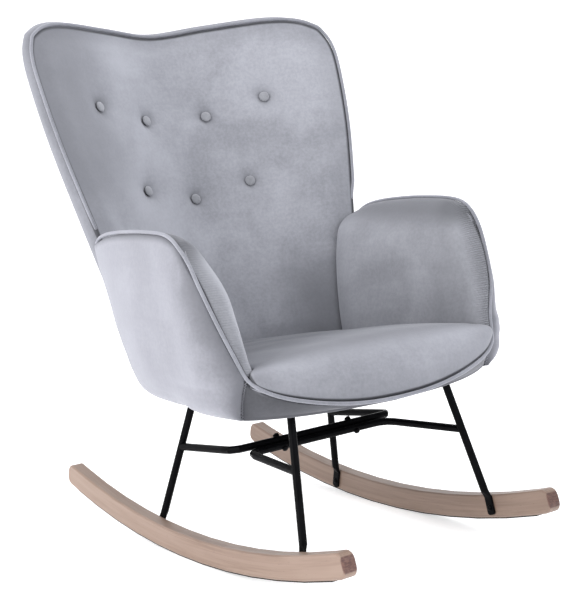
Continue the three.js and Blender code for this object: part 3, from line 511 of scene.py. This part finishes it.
# The middle of the face is at BACK_Y at the height BACK_Z. It leans back by BACK_LEAN for each
# millimetre of height, and its wings come forward by about WING_SLOPE for each millimetre of width.
BACK_Y, BACK_Z, BACK_LEAN = 250, 624, 0.3735
WING_SLOPE, WING_ROUND = 0.5, 80


def back_y(x, z):
    return BACK_Y + BACK_LEAN * (z - BACK_Z) - WING_SLOPE * (np.hypot(x, WING_ROUND) - WING_ROUND)


def back_normal(x):
    sideways = -WING_SLOPE * x / np.hypot(x, WING_ROUND)
    n = np.stack([sideways, -np.ones_like(x), np.full_like(x, BACK_LEAN)], -1)
    return n / np.linalg.norm(n, axis=-1)[..., None]


def back_thickness(z):
    return lerp(54.0, 30.0, clamp01((z - BACK_BOTTOM) / (BACK_TOP - BACK_BOTTOM))) * 1.18


def back_outline(a, c):
    """The outline filled from its four edges: a from -X to +X, c from bottom to top."""
    right = spline(BACK_SIDE, c)
    left = right * np.array([-1.0, 1.0])
    top = spline(BACK_RIM, 1 - a)
    across = lerp(-1.0, 1.0, a)
    bottom = np.stack([across * BACK_SIDE[0][0], np.full_like(a, BACK_BOTTOM)], -1)
    corners = np.stack([across * lerp(BACK_SIDE[0][0], EAR[0], c), lerp(BACK_BOTTOM, EAR[1], c)], -1)
    return lerp(left, right, a[..., None]) + lerp(bottom, top, c[..., None]) - corners


side_line = spline(BACK_SIDE, np.linspace(0, 1, 80))
rim_line = spline(BACK_RIM, np.linspace(0, 1, 120))
open_outline = np.vstack([side_line, rim_line[1:], (side_line * [-1, 1])[::-1][1:]])
BACK_LOOP = even(open_outline, 260, closed=True)
BACK_LOOP_CLOSED = np.vstack([BACK_LOOP, BACK_LOOP[:1]])


def loop_normals(loop):
    """The outward direction at each point of a closed loop, evened out over a few neighbours."""
    t = np.roll(loop, -1, 0) - np.roll(loop, 1, 0)
    n = np.stack([t[:, 1], -t[:, 0]], 1)
    n /= np.linalg.norm(n, axis=1)[:, None]
    for _ in range(3):
        n = n + np.roll(n, 1, 0) + np.roll(n, -1, 0)
        n /= np.linalg.norm(n, axis=1)[:, None]
    return n


def dimpled(x, z):
    """How far the buttons and the folds between them draw the back's face in, in millimetres."""
    depth = np.zeros_like(x)
    for k, (bx, bz) in enumerate(BUTTONS):
        dx, dz = x - bx, z - bz
        r = np.hypot(dx, dz)
        theta = np.arctan2(dz, dx)
        well = 3.6 * np.exp(-(r / 13.0) ** 2) + 5.2 * np.exp(-(r / 27.0) ** 1.6)
        depth += well + 3.4 * np.exp(-(r / 62.0) ** 2)
        folds = np.cos(5 * theta + 1.3 * k) + 0.6 * np.cos(8 * theta + 2.1 * k)
        depth += 0.55 * folds * np.exp(-((r - 20.0) / 13.0) ** 2)
    pairs = [(0, 1), (1, 2), (2, 3), (4, 5), (5, 6), (0, 4), (1, 4), (1, 5), (2, 5), (2, 6), (3, 6)]
    for i, j in pairs:
        line = np.array([BUTTONS[i], BUTTONS[j]], float)
        d, along = distance_to(line, np.stack([x, z], 1))
        length = np.linalg.norm(line[1] - line[0])
        ends = np.exp(-along / 38.0) + np.exp(-(length - along) / 38.0)
        strength = 1.9 if abs(BUTTONS[i][1] - BUTTONS[j][1]) < 40 else 1.1
        depth += strength * np.exp(-(d / 9.0) ** 2) * ends
    return depth


def build_back_cushion():
    """The buttoned front of the back."""
    a = clustered(9, 9, 4, 660, 96)
    c = clustered(9, 9, 4, 640, 92)
    b = np.array([0.0, 0.25, 0.6, 1.0])
    params, faces = box_grid(a, b, c)
    flat = back_outline(params[:, 0], params[:, 2])
    inset = 1 - 0.016 * smooth(params[:, 1] / 0.25)
    flat = BACK_CENTRE + (flat - BACK_CENTRE) * inset[:, None]
    edge, _ = distance_to(BACK_LOOP_CLOSED, flat)
    radius = 6.0
    roll = np.where(edge < radius, radius - np.sqrt(np.maximum(radius**2 - (radius - edge) ** 2, 0)), 0.0)
    x, z = flat[:, 0], flat[:, 1]
    away = smooth(edge / 45.0)
    crown = 4.0 * away * (1 - smooth(edge / 260.0) * 0.3)
    uneven = 1.2 * ripple(x, z, 95, 3) * away
    face = roll + 3.0 + (dimpled(x, z) - crown - uneven) * (0.15 + 0.85 * away)
    rear = back_thickness(z) * 0.5
    depth = lerp(face, np.maximum(rear, face + 8), params[:, 1])
    front = params[:, 1] == 0
    verts = np.stack([x, back_y(x, z), z], 1)
    normal = back_normal(x)
    drawn_in = verts - normal * depth[:, None]
    set_back = verts + np.array([0, 1, 0]) * depth[:, None]
    verts = np.where(front[:, None], drawn_in, set_back)
    # Painted shade: the back is darkened low at its sides beside the arms, towards its upper part at -X and
    # round each button, and seam_d darkens its edges as painted shade in the seams.
    low_shade = smooth((540 - z) / 130) * (0.12 + 0.88 * smooth((np.abs(x) - 70) / 110))
    left_shade = smooth((-x - 90) / 170) * smooth((z - 560) / 160)
    buttons = sum(np.exp(-(np.hypot(x - bx, z - bz) / 18.0) ** 2) for bx, bz in BUTTONS)
    painted_shade = 0.75 * low_shade + 0.6 * left_shade + 0.55 * buttons
    piece = add_piece("back_cushion", verts, faces, VELVET_BACK,
                      attributes={"seam_d": np.where(edge < 12, edge * 0.72, edge - 3.36), "painted_shade": painted_shade})
    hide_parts("back_pad")


# How far the back's side swells out, in millimetres, at each share of its thickness.
BACK_SIDE_SWELL = [(0.2, 4.0), (0.36, 6.6), (0.52, 8.0), (0.68, 8.2), (0.8, 7.0), (0.88, 5.0), (0.94, 2.6)]


def build_back_shell():
    """The back's padded sides and rear, as one closed skin."""
    normal = loop_normals(BACK_LOOP)
    thick = back_thickness(BACK_LOOP[:, 1])
    bottom = smooth((BACK_LOOP[:, 1] - BACK_BOTTOM) / 25.0)

    def ring(inset, share, extra=0.0):
        flat = BACK_LOOP - normal * inset
        y = back_y(BACK_LOOP[:, 0], BACK_LOOP[:, 1]) + thick * share + extra
        return np.stack([flat[:, 0], y, flat[:, 1]], 1)

    def rear(scale, inset):
        flat = BACK_CENTRE + (BACK_LOOP - normal * inset - BACK_CENTRE) * scale
        x, z = flat[:, 0], flat[:, 1]
        crown = 9.0 * (1 - scale**2.2)
        y = back_y(x, z) + back_thickness(z) + crown + 0.8 * ripple(x, z, 120, 8)
        return np.stack([x, y, z], 1)

    def inner(scale):
        flat = BACK_CENTRE + (BACK_LOOP - normal * 5.0 - BACK_CENTRE) * scale
        x, z = flat[:, 0], flat[:, 1]
        return np.stack([x, back_y(x, z) + back_thickness(z) * 0.78, z], 1)

    bulge = lerp(0.25, 1.0, bottom)[:, None] * normal
    rings = [inner(s) for s in (0.05, 0.3, 0.6, 0.85, 0.97, 1.0)]
    rings += [ring(4.2, 0.5), ring(4.0, 0.15, 5.0), ring(3.0, 0.0, 7.0), ring(1.2, 0.0, 5.5)]
    rings += [ring(-0.6, 0.0, 6.5)]
    for share, push in BACK_SIDE_SWELL:
        r = ring(0.0, share, 4.0 * (1 - share))
        rings.append(r + np.stack([bulge[:, 0] * push, np.zeros(len(r)), bulge[:, 1] * push], 1))
    rings += [ring(0.8, 0.985), ring(1.8, 0.99), ring(3.6, 1.02), ring(8.0, 1.04, 1.0)]
    rings += [rear(s, 8.0) for s in (0.975, 0.93, 0.87, 0.8, 0.72, 0.63, 0.53, 0.42, 0.3, 0.17, 0.05)]
    verts, faces = loft(rings)
    mid = np.array([verts[f].mean(0) for f in faces])
    under = mid[:, 2] < BACK_BOTTOM + 3
    piece = add_piece("back_shell", verts, faces, [VELVET_REAR, CLOTH], face_material=under.astype(int))
    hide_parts("back_outer_pad")


def back_piping_path():
    """The cord round the back's face. Its ends stop above the arms and sink into the back."""
    keep = open_outline[open_outline[:, 1] > 590]
    flat = even(keep, 230)
    t = np.gradient(flat, axis=0)
    n = np.stack([t[:, 1], -t[:, 0]], 1)
    n /= np.linalg.norm(n, axis=1)[:, None]
    from_end = np.minimum(np.arange(len(flat)), np.arange(len(flat))[::-1])
    tucked = 1 - smooth(from_end / 7.0)
    y = back_y(flat[:, 0], flat[:, 1]) + 2.2 + 4.5 * tucked
    flat = flat + n * (2.4 - 3.0 * tucked)[:, None]
    return np.stack([flat[:, 0], y, flat[:, 1]], 1)


# The outline of a covered button: radius, and height above its seat.
BUTTON_PROFILE = [(5.0, -1.0), (8.6, -0.6), (9.8, 0.8), (10.2, 2.2), (9.9, 3.3),
                  (9.1, 4.2), (7.6, 4.8), (5.2, 5.2), (2.6, 5.4), (0.6, 5.5)]


def build_buttons():
    """The covered buttons, each set on the face in its own dimple."""
    for k, (bx, bz) in enumerate(BUTTONS):
        n = back_normal(np.array([float(bx)]))[0]
        seat = np.array([bx, back_y(bx, bz), bz]) - n * 9.6
        side = np.cross(n, [0, 0, 1.0])
        side /= np.linalg.norm(side)
        up = np.cross(side, n)
        angles = np.linspace(0, 2 * math.pi, 32, endpoint=False)
        circle = np.cos(angles)[:, None] * side + np.sin(angles)[:, None] * up
        rings = []
        for radius, height in BUTTON_PROFILE:
            wave = 1 + 0.012 * np.cos(7 * angles + k) * (radius > 7)
            rings.append(seat + n * height + (radius * wave)[:, None] * circle)
        verts, faces = loft(rings)
        # The low sides of each button carry small seam_d values, so the button's foot is darkened as painted
        # shade.
        rise = (verts - seat) @ n
        piece = add_piece(f"covered_button_{k + 1}", verts, faces, VELVET_BUTTON,
                          attributes={"seam_d": 2.0 + 2.0 * np.maximum(rise - 1.5, 0)})
        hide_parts(f"back_button_{k + 1}")


# ------------------------------------------------------------------ the arms' shape
ARM_FRONT = [(-247, 294), (-255, 328), (-269, 360), (-257, 396), (-244, 450), (-219, 513), (-174, 581)]
ARM_TOP_LINE = [(122, 567), (66, 585), (-20, 593), (-105, 594), (-142, 591), (-174, 581)]
ARM_REAR = [(82, 294), (84, 350), (97, 440), (122, 567)]
# Level sections of an arm's outer face: height, widest X, and X and Y of its front edge.
ARM_SECTIONS = [(292, 254, 268, -247), (300, 274, 269, -248), (310, 294, 270, -251), (322, 307, 270, -254),
                (340, 316, 270, -260), (360, 322, 271, -269), (378, 325, 275, -266), (396, 327, 281, -257),
                (450, 330, 299, -244), (513, 331, 311, -219), (550, 329, 316, -201), (578, 325, 319, -172),
                (600, 319, 316, -124)]
section_line = spline(ARM_SECTIONS, np.linspace(0, 1, 240))
ARM_FOOT_ARCH = 6
# Heights along the stitched seam between an arm's outer face and the apron.
ARM_SEAM_Z = np.linspace(294, 358, 40)
STITCH_POINTS = 27


def arm_section(z, column):
    """One column of ARM_SECTIONS at the given heights."""
    return np.interp(z, section_line[:, 0], section_line[:, column])


def close_rear(y, z):
    """How far the outer face closes in towards the back of the chair."""
    depth = 16 + 36 * clamp01((565 - z) / 190) + 9 * clamp01((430 - z) / 90)
    return depth * np.clip((y + 80) / 190, 0, 1.2) ** 2


def arm_outer_x(y, z):
    widest, edge_x, edge_y = (arm_section(z, k) for k in (1, 2, 3))
    behind = clamp01((y - edge_y) / 70)
    fullness = (1 - (1 - behind) ** 2.2) ** (1 / 2.2)
    low_front = 20 * clamp01((348 - z) / 45) * smooth((-100 - y) / 80)
    return lerp(edge_x, widest + low_front, fullness) - close_rear(y, z)


def arm_edge_x(y, z):
    """The X of the seam that the piping covers, beside a point of the arm."""
    return np.where(z > 592, 316.0, arm_section(z, 2)) - close_rear(y, z)


def arm_inner_x(y, z):
    rear = 190 + 0.22 * (z - 349)
    front = 249 + 0.07 * (z - 395)
    roll = 20 * (np.maximum(0, z - 480) / 110) ** 1.5
    inner = lerp(front, rear, clamp01((y + 230) / 330)) + roll
    return np.minimum(inner, arm_edge_x(y, z) - 24)


def arm_outline(u, v):
    """Y and Z inside an arm's side outline: u from front to rear, v from bottom to top."""
    front, rear = spline(ARM_FRONT, v), spline(ARM_REAR, v)
    top = spline(ARM_TOP_LINE, 1 - u)
    foot0, foot1 = np.array(ARM_FRONT[0], float), np.array(ARM_REAR[0], float)
    high0, high1 = np.array(ARM_FRONT[-1], float), np.array(ARM_REAR[-1], float)
    low = lerp(foot0, foot1, u[..., None])
    bottom = low.copy()
    bottom[..., 1] += 4 * u * (1 - u) * ARM_FOOT_ARCH
    high = lerp(high0, high1, u[..., None])
    return lerp(front, rear, u[..., None]) + lerp(bottom, top, v[..., None]) - lerp(low, high, v[..., None])


ARM_EDGE = even(np.vstack([spline(ARM_FRONT, np.linspace(0, 1, 60)),
                           spline(ARM_TOP_LINE, np.linspace(1, 0, 60))[1:]]), 140)
edge_run = np.concatenate([[0], np.cumsum(np.linalg.norm(np.diff(ARM_EDGE, axis=0), axis=1))])
ARM_REAR_LINE = spline(ARM_REAR, np.linspace(0, 1, 60))
SEAT_FLOOR = 308.0


def build_arm_pad(side, sign):
    """The inside of an arm: its upright face, rolled over the front and the top out to the piping."""
    near_edge = np.linspace(0, 1, 25)[1:]
    u = np.concatenate([[0], 0.12 * near_edge, clustered(0, 14, 8, 330, 40)[1:] * 0.88 + 0.12])
    v = np.concatenate([np.linspace(0, 0.87, 48), 1 - 0.13 * near_edge[::-1][1:], [1]])
    b = np.array([0.0, 0.5, 1.0])
    params, faces = box_grid(b, u, v)
    flat = arm_outline(params[:, 1], params[:, 2])
    flat[:, 1] = np.maximum(flat[:, 1], SEAT_FLOOR)
    d, s = distance_to(ARM_EDGE, flat)
    nearest = np.stack([np.interp(s, edge_run, ARM_EDGE[:, k]) for k in (0, 1)], 1)
    inward = (flat - nearest) / np.maximum(d, 1e-6)[:, None]
    broad = smooth((nearest[:, 1] - 500) / 80)
    reach = lerp(30.0, 40.0, broad)
    power = lerp(3.2, 2.5, broad)
    turn = clamp01((d - 0.25) / reach) * math.pi / 2
    across = np.sin(turn) ** (2 / power)
    moved = reach * (1 - np.cos(turn) ** (2 / power))
    flat = np.where((d < reach)[:, None], nearest + inward * np.where(d < reach, moved, d)[:, None], flat)
    z = np.maximum(flat[:, 1], SEAT_FLOOR)
    y = np.maximum(flat[:, 0], lerp(-250.0, -268.0, smooth((z - 345) / 25)))
    gap_line = back_y(arm_inner_x(y, z), np.maximum(z, BACK_BOTTOM)) - 6.0
    y = np.minimum(lerp(y, np.minimum(y, gap_line), params[:, 1]), gap_line)
    rear_d = gap_line - y
    tuck = clamp01(1 - rear_d / 13.0)
    face = arm_inner_x(y, z)
    edge_x = arm_edge_x(y, z) - 2.0
    swell = 4.0 * smooth(d / 40.0) * smooth(rear_d / 60.0)
    swell = swell + 1.0 * ripple(y, z, 90, 5 if sign > 0 else 6) * smooth(d / 60.0)
    rolled = edge_x - (edge_x - face + swell) * across + 9.0 * (1 - np.sqrt(1 - tuck**2)) * across
    x = lerp(rolled, np.maximum(arm_edge_x(y, z) - 16, rolled + 1.0), params[:, 0])
    bulge = 4.5 * np.sin(math.pi * across) * (params[:, 0] == 0)
    forward = bulge * smooth((-190 - y) / 40) * clamp01((z - 360) / 40)
    verts = np.stack([x, y - forward, z + 0.6 * bulge * smooth((z - 560) / 25)], 1)
    if sign < 0:
        verts = mirror(verts)
    front_part = smooth((-120 - y) / 60)
    gathered = front_part * (1.0 if sign > 0 else 0.3)
    # Painted shade: the pad's top, the front of the left pad, and the lines along its piping and its rear gap
    # are darkened in the base colour.
    painted_shade = 0.85 * smooth((z - 535) / 45) + 0.3 * front_part * (sign > 0)
    seam_d = np.minimum(np.hypot(d, x - edge_x), rear_d + 1.5)
    shading = {"edge_d": d, "edge_s": s, "seam_d": seam_d, "painted_shade": painted_shade, "gathered": gathered}
    piece = add_piece(f"arm_pad_{side}", verts, faces, VELVET_ARM, attributes=shading)
    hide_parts(f"arm_inner_pad_{side}")


def build_arm_shell(side, sign):
    """The outside of an arm, drawn in under the seat."""
    near_edge = np.linspace(0, 1, 25)[1:] ** 2.4
    u = np.concatenate([[0], 0.16 * near_edge, clustered(0, 16, 5, 330, 40)[1:] * 0.84 + 0.16])
    v = clustered(26, 12, 6, 300, 46)
    b = np.array([0.0, 0.5, 1.0])
    params, faces = box_grid(b, u, v)
    flat = arm_outline(params[:, 1], params[:, 2])
    y, z = flat[:, 0], flat[:, 1]
    d, _ = distance_to(ARM_EDGE, flat)
    rear_d, _ = distance_to(ARM_REAR_LINE, flat)
    radius = 6.0
    roll = np.where(d < radius, radius - np.sqrt(np.maximum(radius**2 - (radius - d) ** 2, 0)), 0)
    roll = roll * smooth((z - 560) / 25)
    wide = 11.0
    rear_roll = np.where(rear_d < wide, wide - np.sqrt(np.maximum(wide**2 - (wide - rear_d) ** 2, 0)), 0)
    uneven = 0.9 * ripple(y, z, 110, 11 if sign > 0 else 12) * smooth(d / 50.0)
    puff = 2.0 * smooth(d / 60.0) * smooth(rear_d / 50.0) + uneven
    face = arm_outer_x(y, z) - np.maximum(roll, rear_roll) + puff
    inner = arm_outer_x(y, z) - 13.0
    x = lerp(np.minimum(inner, face - 1.0), face, params[:, 0])
    behind = clamp01((y - arm_section(z, 3)) / 70)
    forward = 66.0 * smooth((372 - z) / 50) * behind ** 0.6 * (1 - behind) ** 2.6 * params[:, 0]
    verts = np.stack([x, y - forward, z], 1)
    seam = np.stack([arm_section(ARM_SEAM_Z, 2), arm_section(ARM_SEAM_Z, 3), ARM_SEAM_Z], 1)
    to_and_fro = np.where(np.arange(STITCH_POINTS) % 2, 1.0, -1.0)[:, None]
    zigzag = even(seam, STITCH_POINTS) + np.array([2.2, -0.8, 0.0]) * to_and_fro + [0.5, -2.4, 0.0]
    stitches = tube(zigzag, 0.75, 6)
    verts, faces = joined([(verts, faces), stitches])
    # seam_d darkens a band beside the piping as painted shade; it is stretched so that the band is narrower
    # on the left arm and near the top, and the stitches get none.
    narrower = lerp(1.0 if sign < 0 else 2.6, 3.5, smooth((z - 500) / 60))
    from_edge = np.hypot(d, x - arm_edge_x(y, z)) * narrower + 1.2
    seam_d = np.concatenate([from_edge, np.full(len(stitches[0]), 60.0)])
    if sign < 0:
        verts = mirror(verts)
    piece = add_piece(f"arm_shell_{side}", verts, faces, VELVET_SHELL, attributes={"seam_d": seam_d})
    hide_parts(f"arm_outer_pad_{side}")


# ------------------------------------------------------------------ seat, apron and piping
TUB_PIPING = [(0, -325, 294), (57, -325, 296), (112, -322, 302), (168, -316, 313), (220, -304, 328),
              (252, -288, 344), (269, -271, 363), (280, -259, 396), (299, -246.5, 450), (311.5, -222, 510),
              (316.5, -203, 549), (319.5, -183, 573), (319.5, -159, 589), (317, -124, 596), (316, -62, 597.5),
              (315, -5, 596), (311, 57, 591), (306, 97, 583), (302, 119, 572)]
half_piping = even(spline(TUB_PIPING, np.linspace(0, 1, 400)), 300)


def seat_front(x):
    """The piping's place under the seat's front, for a distance from the middle."""
    ax = np.abs(x)
    keep = half_piping[half_piping[:, 2] < 366]
    return np.interp(ax, keep[:, 0], keep[:, 1]), np.interp(ax, keep[:, 0], keep[:, 2])


def build_seat():
    """The seat's cushion: row 0 is at the piping, 0.3 at the crest of its front, 1 at the back."""
    a = clustered(26, 26, 6, 470, 62)
    b = np.concatenate([np.linspace(0, 0.3, 22), np.linspace(0.3, 0.94, 40)[1:], np.linspace(0.94, 1, 6)[1:]])
    c = np.array([0.0, 0.4, 0.8, 1.0])
    params, faces = box_grid(a, b, c)
    across = lerp(-1.0, 1.0, params[:, 0])
    row = params[:, 1]
    x_front = across * 255.0
    front_y, front_z = seat_front(x_front)
    front_y, front_z = front_y + 3.0, front_z + 4.0
    crest_y = lerp(-232.0, -248.0, np.abs(across) ** 3)
    rear_y = back_y(across * 192.0, 348.0) - 7.0
    arc = clamp01(row / 0.3)
    along = clamp01((row - 0.3) / 0.7)
    phi = arc * math.pi / 2
    power = 2 / 2.25
    y = np.where(row < 0.3, crest_y + (front_y - crest_y) * np.cos(phi) ** power,
                 lerp(crest_y, rear_y, along))
    half_side = np.minimum(arm_inner_x(y, np.full_like(y, 362.0)), 254.0) - 4.0
    corner = lerp(257.0, half_side, smooth((arc - 0.5) / 0.5)) + 7.0 * np.sin(math.pi * clamp01(arc / 0.8))
    half = np.where(row < 0.3, corner, half_side)
    x = across * half
    crown = 15.0 * (1 - np.abs(across) ** 2.4)
    crest = 376.0 + crown
    top = np.where(row < 0.3, front_z + (crest - front_z) * np.sin(phi) ** power,
                   lerp(376.0, 347.0, smooth(along) * 0.4 + along * 0.6) + crown * (1 - along**2))
    side_d = half * (1 - np.abs(across))
    rear_d = np.maximum(rear_y - y, 0)
    tuck_radius = 13.0
    side_tuck = clamp01(1 - side_d / tuck_radius) * smooth((row - 0.2) / 0.16)
    rear_tuck = clamp01(1 - rear_d / tuck_radius)
    tuck = tuck_radius * (1 - np.sqrt(1 - np.maximum(side_tuck, rear_tuck) ** 2))
    uneven = 1.4 * ripple(x, y, 110, 21) * smooth(side_d / 50) * smooth(rear_d / 50) * smooth(row / 0.3)
    top = top - tuck + uneven
    lip = lerp(6.5, 2.5, smooth((np.abs(across) - 0.74) / 0.12))
    floor = np.where(row < 0.3, lerp(front_z - lip, SEAT_FLOOR, smooth((arc - 0.72) / 0.28)), SEAT_FLOOR)
    floor = np.minimum(floor, top - 4)
    z = lerp(floor, top, params[:, 2])
    y = np.where(params[:, 2] < 1, np.maximum(y, lerp(y, y + 6, smooth(1 - arc))), y)
    y = y + 5.0 * smooth((along - 0.9) / 0.1) * (params[:, 2] < 0.9)
    verts = np.stack([x, y, z], 1)
    # Painted shade: darker beside the sides, the rear and the front piping, on the front face below the crest
    # and towards the rear.
    seam_d = np.minimum(np.minimum(side_d + 3, rear_d + 1), np.hypot(y - front_y, z - front_z) + 0.5)
    painted_shade = 0.66 * smooth((arc - 0.5) / 0.4) + 0.5 * smooth((along - 0.08) / 0.45)
    piece = add_piece("seat_cushion", verts, faces, VELVET, attributes={"seam_d": seam_d, "painted_shade": painted_shade})
    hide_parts("seat_pad")


APRON_LOW = [(0, -316), (100, -306), (175, -290), (232, -268), (268, -247)]
# The hem turned in under the seat: how far in from the apron's face, and how far up from its bottom.
APRON_HEM = [(0.9, 2.6), (2.8, 0.9), (6.0, 0.0), (22.0, 0.5), (24.0, 3.0), (20.0, 6.0), (9.0, 8.0)]


def build_apron():
    """The band below the seat's piping, from one side seam to the other, turned in under the seat."""
    rim_line = half_piping[half_piping[:, 2] < 361.5]
    stations = np.linspace(0, 1, 61)
    tops = even(rim_line, 61)
    rings = []
    for s, top in zip(stations, tops):
        low = spline(APRON_LOW, np.array([s]))[0]
        rim, bottom = top[2] - 2.5, 286.0 + 6.0 * s**2
        t = np.linspace(0, 1, 11)
        z = lerp(rim, bottom + 5.0, t)
        flat = lerp(top[None, :2], low[None], t[:, None])
        inward = -low / np.linalg.norm(low)
        bulge = 2.0 * np.sin(math.pi * t) * min(1.0, (rim - bottom) / 30.0)
        seam = np.stack([arm_section(z, 2), arm_section(z, 3)], 1)
        face = lerp(flat - inward * bulge[:, None], seam, s**5)
        hem = face[-1]
        profile = [(*p, q) for p, q in zip(face, z)]
        for depth, up in APRON_HEM:
            profile.append((*(hem + inward * depth), bottom + up))
        for drop in (5.0, 1.0):
            profile.append((*(top[:2] + inward * 6.0), max(rim - drop, bottom + 11.0 - drop)))
        rings.append(np.array(profile))
    rings = [ring * [-1, 1, 1] for ring in rings[:0:-1]] + rings
    verts, faces = loft(rings)
    piece = add_piece("front_apron_cover", verts, faces, VELVET_APRON)
    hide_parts("front_apron")


def build_piping():
    """The two piping cords, round the tub's edge and round the back's face."""
    whole = np.vstack([mirror(half_piping[1:])[::-1], half_piping])
    verts, faces = tube(even(whole, 420), 3.1, 12, wobble=0.02, seed=4)
    piece = add_piece("tub_piping_cord", verts, faces, VELVET_PIPING)
    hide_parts("tub_piping")
    verts, faces = tube(back_piping_path(), 3.0, 12, wobble=0.02, seed=7)
    piece = add_piece("back_piping_cord", verts, faces, VELVET_PIPING)
    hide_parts("back_piping")


# ------------------------------------------------------------------ carried-over CAD nodes


def finish_node(name, material, angle, bevel=0.0):
    """A CAD node given its material, with edges sharper than the angle kept sharp."""
    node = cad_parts[name]
    node.data.materials.clear()
    node.data.materials.append(material)
    node.data.polygons.foreach_set("use_smooth", [True] * len(node.data.polygons))
    node.data.set_sharp_from_angle(angle=math.radians(angle))
    if bevel:
        edge = node.modifiers.new("edge", "BEVEL")
        edge.width, edge.segments, edge.limit_method = bevel, 2, "ANGLE"
        edge.angle_limit = math.radians(40)
        edge.harden_normals = True
    weighted = node.modifiers.new("weighted", "WEIGHTED_NORMAL")
    weighted.keep_sharp = True


def dress_frame():
    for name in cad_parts:
        if name.startswith("rocker"):
            finish_node(name, BEECH[name.split("_")[1]], 60)
        elif name.startswith("anti_slip"):
            finish_node(name, RUBBER, 30)
        elif name.startswith(("leg_", "stretcher_front", "stretcher_rear")):
            finish_node(name, STEEL, 50)
        elif name.startswith("mounting_plate"):
            finish_node(name, STEEL, 30, 0.0006)
        elif name.startswith(("foot_screw", "plate_screw", "stretcher_bolt", "stretcher_nut")):
            finish_node(name, FIXING, 35)
        elif name in ("back_board", "arm_board_left", "arm_board_right"):
            finish_node(name, PLYWOOD, 30)
        elif name in ("dust_cover", "seat_board"):
            finish_node(name, CLOTH, 30)


# ------------------------------------------------------------------ stage


def build_stage():
    """A pale floor that curves up into a backdrop behind the chair."""
    n = Nodes("backdrop_paper")
    n.set(Base_Color=(0.93, 0.93, 0.935, 1.0), Roughness=0.9, Specular_IOR_Level=0.1,
          Emission_Color=(1.0, 1.0, 1.0, 1.0), Emission_Strength=0.46)
    profile = [(-14.0, 0.0), (3.0, 0.0)]
    for k in range(1, 13):
        t = k / 12 * math.pi / 2
        profile.append((3.0 + 4.0 * math.sin(t), 4.0 - 4.0 * math.cos(t)))
    profile.append((7.0, 14.0))
    right = Vector((*CAMERA_RIGHT[:2], 0)).normalized()
    ahead = Vector((*CAMERA_AHEAD[:2], 0)).normalized()
    verts, faces = [], []
    for along, up in profile:
        for side in (-14.0, 14.0):
            p = ahead * along + right * side
            verts.append((p.x, p.y, up - 0.0002))
    for k in range(len(profile) - 1):
        faces.append([2 * k, 2 * k + 1, 2 * k + 3, 2 * k + 2])
    mesh = bpy.data.meshes.new("backdrop")
    mesh.from_pydata(verts, [], faces)
    mesh.materials.append(n.material)
    mesh.polygons.foreach_set("use_smooth", [True] * len(faces))
    floor = bpy.data.objects.new("backdrop", mesh)
    bpy.context.scene.collection.objects.link(floor)


def area_light(name, place, target, size, power, colour=(1, 1, 1)):
    light = bpy.data.lights.new(name, "AREA")
    light.shape, light.size, light.size_y = "RECTANGLE", size[0], size[1]
    light.energy, light.color = power, colour
    obj = bpy.data.objects.new(name, light)
    obj.location = place
    obj.rotation_mode = "QUATERNION"
    obj.rotation_quaternion = (Vector(target) - Vector(place)).to_track_quat("-Z", "Y")
    bpy.context.scene.collection.objects.link(obj)
    return obj


def build_lights():
    world = bpy.data.worlds.new("studio")
    world.use_nodes = True
    world.node_tree.nodes["Background"].inputs[0].default_value = (0.97, 0.98, 1.0, 1.0)
    world.node_tree.nodes["Background"].inputs[1].default_value = 0.66
    bpy.context.scene.world = world
    area_light("key", (-3.4, -0.4, 1.7), (0, 0, 0.5), (1.8, 2.2), 104, (1.0, 0.99, 0.98))
    area_light("fill", (1.2, -3.6, 2.2), (0, 0, 0.5), (2.4, 1.8), 52, (0.97, 0.98, 1.0))
    area_light("top", (0.2, -0.2, 3.2), (0, 0, 0.4), (2.0, 2.0), 26, (1.0, 1.0, 1.0))


def build_camera():
    camera = bpy.data.cameras.new("camera")
    camera.sensor_width, camera.sensor_fit = 36.0, "AUTO"
    camera.lens = 83.95
    camera.clip_end = 60
    obj = bpy.data.objects.new("camera", camera)
    bpy.context.scene.collection.objects.link(obj)
    turn = Matrix((Vector(CAMERA_RIGHT), Vector(CAMERA_UP), -Vector(CAMERA_AHEAD))).transposed()
    obj.matrix_world = Matrix.Translation(CAMERA_PLACE) @ turn.to_4x4()
    bpy.context.scene.camera = obj


# ------------------------------------------------------------------ build
dress_frame()
build_back_cushion()
build_back_shell()
build_buttons()
for side, sign in (("left", 1), ("right", -1)):
    build_arm_pad(side, sign)
    build_arm_shell(side, sign)
build_seat()
build_apron()
build_piping()
build_stage()
build_lights()
build_camera()
bpy.context.scene.view_settings.view_transform = "Standard"
